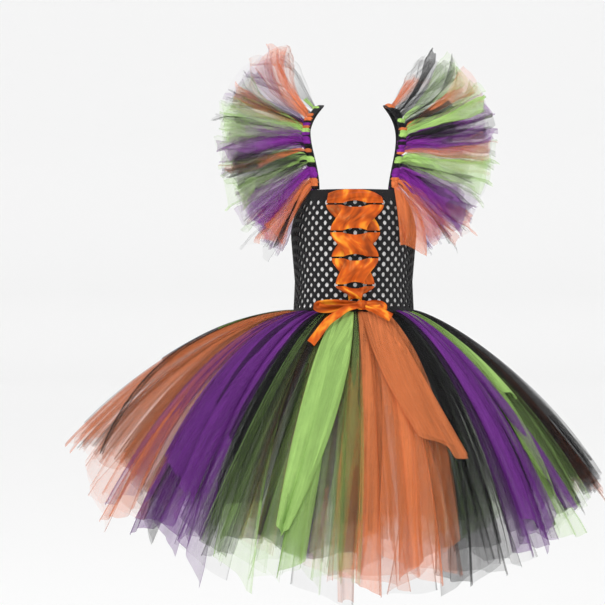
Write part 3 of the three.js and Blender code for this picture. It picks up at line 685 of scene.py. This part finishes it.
for side, label in [(-1, "left"), (1, "right")]:
    rows = [(f"sleeve_{label}_{kind}", *cut) for kind, *cut in SLEEVE_STRIPS[label] + BACK_STRIPS]
    rows += [(f"sleeve_{label}_{colour}_between", *cut) for colour, *cut in SLEEVE_BETWEEN[label]]
    pieces = {}
    for place, (name, *cut) in enumerate(rows):
        pieces.setdefault(name, []).append((place, *cut))
    for name, strips in pieces.items():
        sheets = []
        for place, knot, end, reach, slant, folds, cover, lift in strips:
            seed = 700 + 37 * place + (500 if side > 0 else 0)
            narrow = end[1] - end[0] < NARROW_TIP
            core = cover if narrow else cover * CORE_SHARE
            sheets.append(sleeve_sheet(side, knot, end, reach, slant, folds, core, lift, seed))
            if not narrow:
                wide_end = (max(0.0, end[0] - VEIL_SPREAD), end[1] + VEIL_SPREAD)
                sheets.append(sleeve_sheet(side, knot, wide_end, reach * 0.97, -slant, folds + 0.4,
                                           cover * VEIL_SHARE, lift - 0.003, seed + 17))
            if knot[1] - knot[0] > NARROW_KNOT:
                sheets.append(knot_sheet(side, knot[0], knot[1], 0.0050 + 0.0005 * (place % 3)))
        if name == "sleeve_right_orange_low":
            sheets.append(hanging_sheet(strap_point(HANGING_KNOT), HANGING_TIP, 77))
        colour = name.split("_")[2]
        nodes = [] if name.endswith("_between") else [name]
        make_cloth(name, sheets, SLEEVE_TULLE[colour], nodes)


# Skirt: groups of tulle strips knotted into the tube's lowest row stand out and fall to the hem.
# All follow one bell form, wider to the wearer's right, and shorter at the sides.
WAIST_HALF_WIDTH = BODICE_HALF_WIDTH[0]
WAIST_HALF_DEPTH = BODICE_HALF_DEPTH[0]
STRIP_LENGTH = 0.405
SIDE_SHORTENING = 0.044
HEM_LEFT = 0.395
HEM_RIGHT = 0.350
HEM_FRONT = 0.230
HEM_BACK = 0.220
FRONT_FALL = 1.35
LEFT_FALL = 1.62
RIGHT_FALL = 1.3
FRONT_SPRING = 0.3
SIDE_SPRING = 0.15
WAIST_SEAM = 0.0014


def bell_point(azimuth, t):
    """Points of the skirt's main surface. Azimuth 0 is the front, t the share of a strip's length."""
    sine = np.sin(azimuth)
    cosine = np.cos(azimuth)
    waist_x = WAIST_HALF_WIDTH * sine
    waist_y = -WAIST_HALF_DEPTH * cosine
    hem_x = np.where(sine < 0, HEM_LEFT, HEM_RIGHT) * sine
    hem_y = -np.where(cosine > 0, HEM_FRONT, HEM_BACK) * cosine
    reach = np.hypot(hem_x - waist_x, hem_y - waist_y)
    side_share = sine**2
    hangs = STRIP_LENGTH - SIDE_SHORTENING * side_share
    drop = np.sqrt(hangs**2 - reach**2)
    spring = FRONT_SPRING + (SIDE_SPRING - FRONT_SPRING) * side_share
    side_fall = np.where(sine < 0, LEFT_FALL, RIGHT_FALL)
    outward = t * (1 + spring - spring * t)
    down = np.maximum(t, 0) ** (FRONT_FALL + (side_fall - FRONT_FALL) * side_share)
    x = waist_x + (hem_x - waist_x) * outward
    y = waist_y + (hem_y - waist_y) * outward
    return np.stack([x, y, WAIST_Z - WAIST_SEAM - drop * down], axis=-1)


def bell_outwards(azimuth, t):
    """The direction straight out from the bell at its points."""
    sideways = unit(bell_point(azimuth + 0.01, t) - bell_point(azimuth - 0.01, t))
    along = bell_point(azimuth, t + 0.01) - bell_point(azimuth, np.maximum(0.001, t - 0.01))
    return unit(np.cross(along, sideways))


def skirt_sheet(waist, hem, out, long, slant, folds, cover, seed, start=0.0, overlap=1.8, curl=0.04,
                edge=0.15, depth=1.0, most=5.0, pinned=0.0, rounded=0.0):
    """One gathered strip between two azimuths at the waist and at the hem, in degrees.
    out holds its distance outside the bell at the waist and at the hem, in metres. pinned is how far
    its edges keep to the azimuths, and rounded how far its cut end is rounded off."""
    rng = np.random.default_rng(seed)
    u, v = sheet_shares(24 + int(13 * folds), 28, 1.25)
    end = long * (1 + slant * (2 * u - 1) - rounded * np.abs(2 * u - 1) ** 3)
    end = end + 0.004 * np.sin(2 * math.pi * (1.1 * u + rng.random()))
    t = start + v * (end - start)
    ease = np.clip(t, 0, 1) ** 1.6
    sideways_share, outward_share = fold_shifts(rng, u, t, folds, overlap)
    opened = np.clip(4 * t, 0, 1) * (1 - 0.65 * np.clip(t, 0, 1) ** 2)
    from_edge = np.minimum(u, 1 - u)
    rolled = np.clip(1 - from_edge / curl, 0, 1)
    side = np.where(u < 0.5, 1.0, -1.0)
    loose = 1 - pinned * np.clip(1 - 4 * from_edge, 0, 1)
    inward = u + side * curl * 1.3 * rolled**1.5 + sideways_share * opened * loose
    azimuth_top = waist[0] + (waist[1] - waist[0]) * inward
    azimuth_end = hem[0] + (hem[1] - hem[0]) * inward
    wander = 0.8 * np.sin(2.6 * t + 6 * rng.random()) * t
    azimuth = np.radians(azimuth_top + (azimuth_end - azimuth_top) * ease + wander)
    swell = depth * outward_share * (0.0012 + 0.0062 * np.clip(t, 0, 1))
    swell = swell + 0.0030 * np.sin(3.5 * t + 6 * rng.random()) * t
    lift = out[0] + (out[1] - out[0]) * t - 0.0022 * rolled * (0.4 + t)
    points = bell_point(azimuth, t) + bell_outwards(azimuth, t) * (lift + swell)[..., None]
    return points, gathered_cover(points, cover, edge, most)


def skirt_piece(name, sheets, colour, nodes):
    """Adds a piece of the skirt. Its flat cloth is as long as a strip hangs from the waist."""
    make_cloth(name, sheets, TULLE[colour], nodes)


# Main strips in order round the waist from the back left: each group is several strips that overlap.
# A group runs to where the next begins, and its strips end in slanted cuts at different heights.
MAIN_STRIPS = [
    # name, azimuth at the waist, at the hem, length, strips, folds, colour, cover of a layer, most layers
    ("black_back_left", -112, -112, 0.97, 4, 2.0, "black", 0.10, 4.0),
    ("orange_side", -90, -90, 0.98, 4, 1.1, "orange", 0.035, 2.0),
    ("orange_left", -72, -70, 1.01, 4, 1.3, "orange", 0.085, 3.0),
    ("purple_left", -51, -49, 0.98, 4, 1.8, "purple", 0.34, 5.0),
    ("black_left", -31, -37, 0.95, 4, 2.0, "black", 0.16, 4.0),
    ("olive_left", -21, -28, 0.955, 4, 1.8, "green", 0.065, 2.0),
    ("olive_middle", -11, -13, 0.955, 4, 1.8, "green", 0.075, 2.5),
    ("orange_front", 2, -1, 0.955, 5, 1.6, "orange", 0.22, 5.0),
    ("black_right", 27, 20, 0.97, 4, 2.0, "black", 0.22, 5.0),
    ("purple_right", 42, 38, 0.96, 4, 1.6, "purple", 0.26, 5.0),
    ("green_right", 54, 50, 0.97, 4, 1.6, "green", 0.045, 2.0),
    ("black_side", 70, 66, 0.98, 4, 2.2, "black", 0.13, 4.0),
    ("orange_back_right", 93, 88, 1.00, 4, 1.6, "orange", 0.14, 4.0),
    ("purple_back_right", 112, 112, 0.97, 5, 2.0, "purple", 0.28, 5.0),
    ("green_back_right", 135, 135, 0.98, 5, 2.0, "green", 0.20, 5.0),
    ("orange_back", 158, 158, 0.95, 5, 2.0, "orange", 0.22, 5.0),
    ("purple_back", 181, 181, 0.98, 5, 2.0, "purple", 0.28, 5.0),
    ("green_back_left", 203, 203, 0.96, 5, 2.0, "green", 0.20, 5.0),
    ("orange_back_left", 225, 225, 0.98, 5, 2.0, "orange", 0.20, 5.0),
]
for place, (name, waist, hem, long, count, folds, colour, cover, most) in enumerate(MAIN_STRIPS):
    following = MAIN_STRIPS[(place + 1) % len(MAIN_STRIPS)]
    turn = 0 if place + 1 < len(MAIN_STRIPS) else 360
    waist_span = following[1] + turn - waist
    hem_span = following[2] + turn - hem
    rng = np.random.default_rng(300 + place)
    sheets = []
    for strip in range(count):
        middle = (strip + 0.5) / count + rng.uniform(-0.05, 0.05)
        half_top = 0.75 / count
        half_end = rng.uniform(0.28, 0.46)
        end_middle = np.clip(middle, half_end - 0.12, 1.12 - half_end)
        depth_place = ((strip * 2) % count) / max(1, count - 1) - 0.5
        sheets.append(skirt_sheet(
            (waist + waist_span * (middle - half_top), waist + waist_span * (middle + half_top)),
            (hem + hem_span * (end_middle - half_end), hem + hem_span * (end_middle + half_end)),
            (0.0024 * depth_place, 0.010 * depth_place),
            long + rng.uniform(-0.030, 0.020),
            rng.choice([-1, 1]) * rng.uniform(0.015, 0.06),
            rng.uniform(0.75, 1.0) * folds,
            cover,
            100 * place + strip,
            most=most,
        ))
    skirt_piece(f"skirt_{name}", sheets, colour, [f"skirt_{name}"])


# Under layer: black strips inside the coloured ones, eight groups round the waist.
# Some end well above the hem, so the light comes through there, and thin ones hang lowest of all.
UNDER_STRIPS = 8
UNDER_SHEETS = 5
UNDER_COVER = [0.30, 0.30, 0.24, 0.22, 0.24, 0.20, 0.04, 0.16]
for strip in range(UNDER_STRIPS):
    span = 360 / UNDER_STRIPS
    begin = strip * span - span / 2
    rng = np.random.default_rng(60 + strip)
    sheets = []
    for part in range(UNDER_SHEETS):
        low = begin + span * (0.19 * part + rng.uniform(-0.03, 0.03))
        high = low + span * rng.uniform(0.24, 0.34)
        thin = part % 2
        sheets.append(skirt_sheet(
            (low, high),
            (low, high),
            (-0.0027 - 0.0004 * part, -0.021 - 0.002 * part),
            rng.uniform(0.975, 0.995) if thin else rng.uniform(0.88, 0.93),
            rng.uniform(-0.03, 0.03),
            1.0 if thin else 2.2,
            0.06 if thin else UNDER_COVER[strip],
            5000 + 10 * strip + part,
            overlap=0.7 if thin else 1.8,
        ))
    skirt_piece(f"skirt_under_{strip + 1}", sheets, "black", [f"skirt_under_{strip + 1}"])


# Single strips between the layers: dark ones that deepen the greens and oranges in front of them,
# and narrow strands of another colour that stray over a neighbour.
BETWEEN_STRIPS = {
    "black": [
        # waist azimuths, hem azimuths, out at waist and hem, length, slant, folds, cover
        ((-37, -26), (-42, -28), (-0.001, -0.005), 0.93, 0.03, 2.2, 0.34),
        ((-34, -26), (-38, -31), (0.001, 0.004), 0.66, 0.08, 1.6, 0.30),
        ((-27, -17), (-31, -20), (-0.001, -0.005), 0.89, -0.03, 2.2, 0.40),
        ((-26, -18), (-30, -23), (0.001, 0.004), 0.80, -0.03, 1.6, 0.16),
        ((-19, -9), (-22, -11), (-0.001, -0.005), 0.885, 0.02, 2.2, 0.40),
        ((-10, 3), (-13, 0), (-0.001, -0.005), 0.89, -0.02, 2.5, 0.34),
        ((-2, 9), (-4, 8), (0.001, -0.005), 0.82, 0.03, 2.0, 0.30),
        ((1, 4.5), (-3, -1), (0.001, 0.003), 0.62, 0.30, 0.6, 0.20),
        ((8, 24), (4, 18), (-0.001, -0.005), 0.86, 0.03, 2.0, 0.22),
        ((24, 34), (16, 26), (-0.001, -0.005), 0.98, 0.03, 2.2, 0.34),
        ((50, 60), (42, 54), (-0.001, -0.005), 0.95, 0.02, 2.2, 0.34),
        ((57, 68), (52, 64), (-0.001, -0.004), 0.95, 0.02, 2.2, 0.34),
        ((62, 72), (58, 68), (0.001, 0.006), 0.90, -0.03, 2.2, 0.14),
        ((70, 84), (66, 80), (0.001, 0.004), 0.97, 0.03, 2.5, 0.16),
        ((-66, -56), (-62, -52), (0.000, -0.004), 0.90, 0.03, 2.0, 0.18),
        ((-88, -84), (-65, -63), (0.002, 0.014), 0.92, 0.0, 0.6, 0.12),
        ((-100, -86), (-100, -92), (0.002, 0.006), 0.56, 0.0, 2.0, 0.24),
        ((-48, -38), (-52, -43), (0.000, -0.004), 0.98, 0.04, 2.0, 0.22),
        ((-45, -40), (-47, -42), (0.003, 0.012), 0.97, 0.05, 1.0, 0.12),
        ((78, 80), (82, 84), (0.002, 0.014), 0.90, 0.0, 0.6, 0.08),
        ((84, 90), (72, 78), (0.002, 0.012), 0.93, 0.03, 1.5, 0.10),
    ],
    "green": [
        ((-97, -86), (-96, -90), (0.0015, 0.006), 0.30, 0.05, 2.0, 0.26),
        ((61, 65), (47.5, 50.5), (0.0005, 0.012), 0.80, 0.12, 0.7, 0.16),
        ((50, 56), (48, 60), (0.001, -0.003), 1.02, 0.03, 1.4, 0.14),
        ((-30, -22), (-28, -19), (-0.001, -0.004), 0.99, 0.03, 1.2, 0.11),
        ((-12, -8), (-16, -11), (0.002, 0.008), 0.94, -0.03, 0.9, 0.30),
        ((-28, -22), (-34, -26), (0.001, 0.003), 0.95, 0.03, 1.8, 0.025),
    ],
    "orange": [
        ((-60, -54), (-57, -49), (0.000, 0.003), 1.02, -0.05, 1.6, 0.20),
        ((-6, -1), (-5, -2), (-0.001, -0.008), 1.00, 0.0, 1.2, 0.10),
        ((-13, -4), (-14, -5), (-0.001, -0.001), 0.93, 0.02, 1.5, 0.04),
        ((-5, 3), (-8, 0), (-0.001, -0.001), 0.94, -0.02, 1.5, 0.06),
        ((-26, -16), (-28, -17), (-0.001, -0.001), 0.90, 0.02, 1.5, 0.05),
        ((1, 6), (-1, 5), (0.001, 0.006), 0.97, 0.02, 1.2, 0.22),
        ((12, 19), (9, 15), (0.001, 0.006), 0.93, -0.03, 1.2, 0.24),
        ((76, 86), (78, 88), (-0.001, -0.004), 0.94, 0.02, 2.0, 0.10),
    ],
    "purple": [
        ((-40, -35), (-37, -30), (0.000, 0.003), 1.00, 0.06, 1.4, 0.24),
        ((-57, -51), (-58, -51), (0.001, 0.007), 0.97, -0.05, 1.4, 0.16),
        ((42, 47), (38, 44), (0.002, 0.008), 0.90, 0.04, 1.2, 0.32),
        ((51, 56), (53, 58), (0.002, 0.008), 0.93, 0.04, 1.2, 0.22),
    ],
}
for colour, rows in BETWEEN_STRIPS.items():
    sheets = []
    for place, (waist, hem, out, long, slant, folds, cover) in enumerate(rows):
        seed = 7000 + 40 * len(colour) + place
        sheets.append(skirt_sheet(waist, hem, out, long, slant, folds, cover, seed, edge=0.3))
    skirt_piece(f"skirt_{colour}_between", sheets, colour, [])


# Over strips: strips that lie on the others, each in two layers, with both edges rolled in.
# Most end in a slanted cut well above the hem.
OVER_STRIPS = [
    # name, waist azimuths, hem azimuths, lift at the hem, length, slant, rounding, colour, folds, cover, curl
    ("green_over", (-17.5, 0.5), (-17, -19.5), 0.017, 0.85, 0.02, 0.02, "green", 1.6, 0.42, 0.10),
    ("orange_over", (4, 25), (38, 38), 0.017, 0.625, 0.09, 0.03, "orange", 0.9, 0.34, 0.05),
    ("purple_over", (-51, -36), (-48, -36), 0.015, 0.82, 0.05, 0.0, "purple", 2.2, 0.40, 0.05),
    ("orange_over_left", (-88, -72), (-90, -75), 0.001, 0.98, -0.07, 0.0, "orange", 0.8, 0.06, 0.05),
    ("green_over_right", (62, 66.5), (55, 62), 0.010, 0.52, 0.08, 0.03, "green", 0.6, 0.34, 0.10),
    ("black_over_back", (168, 192), (166, 194), 0.017, 0.86, 0.03, 0.0, "black", 2.0, 0.30, 0.05),
]
for place, (name, *cut) in enumerate(OVER_STRIPS):
    waist, hem, lift, long, slant, rounded, colour, folds, cover, curl = cut
    sheets = []
    for layer in range(2):
        sheets.append(skirt_sheet(
            waist, hem, (0.0012 + 0.0008 * layer, lift + 0.002 * layer), long - 0.012 * layer, slant, folds,
            cover, 9000 + 10 * place + layer, start=0.018, overlap=1.1, curl=curl, edge=0.5, depth=0.9,
            pinned=1.0, rounded=rounded))
    skirt_piece(f"skirt_{name}", sheets, colour, [f"skirt_{name}"])


# Lacing: one orange satin ribbon threaded through slits in the crochet, like a laced boot.
# It lies across the top, crosses itself between four pairs of slits and comes out at the waist.
RIBBON_OUT = 0.0023
SLITS = [(-0.143, 0.0400), (-0.1815, 0.0345), (-0.2175, 0.0325), (-0.2560, 0.0270), (-0.2790, 0.0090)]
SLIT_LENS = 0.0034
SLIT_CLEARANCE = 0.0012
INNER_SHARE = 0.46
TOP_HALF_WIDTH = 0.0400


def satin_material():
    material, tree, shader = new_material("orange_satin")
    weave = weave_vector(tree)
    threads = add_node(tree, "VectorMath", {0: weave, 1: (2600, 60, 11)}, operation="MULTIPLY").outputs[0]
    warp = add_node(tree, "TexNoise", {"Vector": threads, "Scale": 1.0, "Detail": 1.0}).outputs[0]
    creases = add_node(tree, "VectorMath", {0: weave, 1: (62, 30, 5)}, operation="MULTIPLY").outputs[0]
    folds = {"Vector": creases, "Scale": 1.0, "Detail": 2.0, "Distortion": 0.3}
    soft = add_node(tree, "TexNoise", folds).outputs[0]
    # Painted shade and highlight: the colour follows the creases' height, dark red in their hollows and
    # yellow orange on their ridges.
    painted_crease_light_ramp = add_node(tree, "ValToRGB", {"Fac": mapped(tree, soft, (0.34, 0.68), (0.0, 1.0))})
    painted_crease_light_ramp.color_ramp.elements[0].color = (0.24, 0.022, 0.003, 1)
    painted_crease_light_ramp.color_ramp.elements[1].color = (0.98, 0.38, 0.030, 1)
    painted_crease_light_ramp.color_ramp.elements.new(0.58).color = (0.66, 0.095, 0.007, 1)
    height = math_node(tree, "MULTIPLY_ADD", warp, 0.08, soft)
    bump = add_node(tree, "Bump", {"Strength": 0.8, "Distance": 0.0018, "Height": height})
    fill_sockets(tree, shader, {
        "Base Color": painted_crease_light_ramp.outputs["Color"],
        "Roughness": mapped(tree, warp, (0.0, 1.0), (0.24, 0.42)),
        "Specular IOR Level": 0.7,
        "Specular Tint": (1.0, 0.62, 0.22, 1),
        "Anisotropic": 0.5,
        "Normal": bump.outputs[0],
    })
    return material


ORANGE_SATIN = satin_material()


def front_point(x, z, outward):
    """Point in front of the bodice at the sideways place x, at the distance outward from its surface."""
    half_width = np.interp(z, BODICE_Z, BODICE_HALF_WIDTH)
    half_depth = np.interp(z, BODICE_Z, BODICE_HALF_DEPTH)
    share = np.sqrt(np.clip(1 - (x / half_width) ** 2, 0, 1))
    return np.stack([x, -half_depth * share - outward / np.maximum(0.5, share), z], axis=-1)


def ribbon_stretch(upper, lower, way, rise, seed):
    """The ribbon between two slits, each given as (height, half width). It leaves the upper slit on the
    side opposite to way, covers most of both slits and draws back from their middles."""
    rng = np.random.default_rng(seed)
    u, v = sheet_shares(27, 30)
    middle = v**2 * (3 - 2 * v)
    top_left, top_right = -upper[1], INNER_SHARE * upper[1]
    low_left, low_right = -INNER_SHARE * lower[1], lower[1]
    left = top_left + (low_left - top_left) * middle
    right = top_right + (low_right - top_right) * middle
    x = way * (left + (right - left) * u)
    x_top = way * (top_left + (top_right - top_left) * u)
    x_low = way * (low_left + (low_right - low_left) * u)
    lens_top = SLIT_LENS * np.clip(1 - (x_top / (0.5 * upper[1])) ** 2, 0, 1)
    lens_low = SLIT_LENS * np.clip(1 - (x_low / (0.5 * max(lower[1], 0.015))) ** 2, 0, 1)
    z_top = upper[0] - SLIT_CLEARANCE - lens_top
    z_low = lower[0] + SLIT_CLEARANCE + lens_low
    z = z_top + (z_low - z_top) * v
    swell = np.sin(math.pi * v)
    pleat = 2 * math.pi * (2.1 * u + 0.35 * v + rng.random())
    crease = 0.0013 * np.cos(pleat) * (1 - 0.25 * swell) + 0.0004 * np.sin(2.3 * pleat + 5 * v)
    domed = 0.0022 * np.sqrt(np.clip(1 - (2 * u - 1) ** 2, 0, 1)) * swell
    points = front_point(x, z, RIBBON_OUT + 0.0014 + rise * (0.8 + swell) + crease + domed)
    return whole(points)


def top_wrap(seed):
    """The first lap, which lies across the neck edge and tucks into both ends of the first slit."""
    rng = np.random.default_rng(seed)
    u = np.linspace(-1, 1, 40)[None, :]
    v = np.linspace(0, 1, 16)[:, None]
    upper_z = NECK_Z - 0.0005 - 0.0075 * np.abs(u + 0.1) ** 3.0
    lower_z = SLITS[0][0] + SLIT_CLEARANCE + SLIT_LENS * np.clip(1 - (u / 0.4) ** 2, 0, 1)
    z = upper_z + (lower_z - upper_z) * v
    x = TOP_HALF_WIDTH * u * (0.93 + 0.07 * v)
    swell = np.sin(math.pi * v)
    pleat = 2 * math.pi * (1.4 * v + 0.25 * u + rng.random())
    crease = 0.0010 * np.cos(pleat) + 0.0004 * np.sin(2.6 * pleat + 3 * u)
    points = front_point(x, z, RIBBON_OUT + 0.0018 + crease + 0.0022 * swell)
    return whole(points)


stretches = [top_wrap(60)]
for row in range(len(SLITS) - 1):
    over = 1 if row % 2 else -1
    for way in (-over, over):
        rise = 0.0032 if way == over else 0.0
        stretches.append(ribbon_stretch(SLITS[row], SLITS[row + 1], way, rise, 40 + 2 * row + way))
make_cloth("lacing", stretches, ORANGE_SATIN, ["lacing"])


# Bow: the lacing's ends tied at the waist, with a knot, two loops and two free tails of satin ribbon.
# The longer tail hangs over the skirt on the wearer's right side.
KNOT = np.array([0.009, -0.0700, -0.2835])
KNOT_HALF_SIZE = [0.0080, 0.0056, 0.0066]
LOOP_WIDTHS = [0.006, 0.011, 0.013, 0.011, 0.006]
TAIL_WIDTHS = [0.006, 0.011, 0.012]
LOOPS = [
    # side, length, drop, depth, height of its opening, seed
    (-1, 0.062, 0.002, 0.0055, 0.0050, 80),
    (1, 0.028, 0.003, 0.0055, 0.0045, 81),
]
TAILS = [
    # places on the skirt, as azimuth, share of a strip's length and distance outwards, and seed
    ([(-6, 0.05, 0.016), (-16, 0.13, 0.015), (-20, 0.24, 0.013)], 82),
    ([(14, 0.06, 0.016), (22, 0.11, 0.016)], 83),
]


def ribbon_along(path, widths, facing, seed):
    """A ribbon whose middle follows path; facing is the direction that its breadth turns away from."""
    rng = np.random.default_rng(seed)
    path = np.array(path, dtype=float)
    share = np.linspace(0, 1, len(path))
    fine = np.linspace(0, 1, 40)
    smooth = np.stack([np.interp(fine, share, path[:, axis]) for axis in range(3)], axis=1)
    for again in range(6):
        smooth[1:-1] = (smooth[:-2] + 2 * smooth[1:-1] + smooth[2:]) / 4
    along = unit(np.gradient(smooth, axis=0))
    breadth = unit(np.cross(along, np.array(facing, dtype=float)))
    out = unit(np.cross(breadth, along))
    width = np.interp(fine, np.linspace(0, 1, len(widths)), widths)
    u = np.linspace(-0.5, 0.5, 11)
    points = smooth[:, None, :] + breadth[:, None, :] * (width[:, None] * u[None, :])[..., None]
    crease = 0.0008 * np.cos(2 * math.pi * (1.2 * u[None, :] + 0.5 * fine[:, None] + rng.random()))
    points = points + out[:, None, :] * crease[..., None]
    return whole(points)


def bow_loop(side, length, drop, depth, open_height, seed):
    """A loop of ribbon that leaves the knot to one side and comes back to it."""
    turn = np.linspace(0, 2 * math.pi, 25)
    out = (1 - np.cos(turn)) / 2
    path = np.stack([
        KNOT[0] + side * (0.001 + length * out),
        KNOT[1] + depth * np.sin(turn) * np.sqrt(out) - 0.013 * out,
        KNOT[2] - drop * out + open_height * np.sin(turn) * np.sqrt(out),
    ], axis=1)
    return ribbon_along(path, LOOP_WIDTHS, (0, 1, 0.25), seed)


def tail_path(places):
    """The way of a free tail, from the knot down over the skirt."""
    path = [KNOT]
    for azimuth, t, outward in places:
        place = (np.array(math.radians(azimuth)), np.array(t))
        path.append(bell_point(*place) + bell_outwards(*place) * outward)
    return path


knot_turn = np.linspace(0, 2 * math.pi, 21)
knot_rise = np.linspace(-1, 1, 11)
knot_swell = np.sqrt(np.clip(1 - 0.75 * knot_rise**2, 0, 1))
knot_points = np.stack([
    KNOT[0] + KNOT_HALF_SIZE[0] * np.sin(knot_turn)[None, :] * knot_swell[:, None],
    KNOT[1] - KNOT_HALF_SIZE[1] * np.cos(knot_turn)[None, :] * knot_swell[:, None],
    KNOT[2] + KNOT_HALF_SIZE[2] * knot_rise[:, None] * np.ones_like(knot_turn)[None, :],
], axis=2)
bow_sheets = [whole(knot_points)]
bow_sheets += [bow_loop(*row) for row in LOOPS]
bow_sheets += [ribbon_along(tail_path(places), TAIL_WIDTHS, (0, 1, 0), seed) for places, seed in TAILS]
make_cloth("bow", bow_sheets, ORANGE_SATIN, ["bow"])
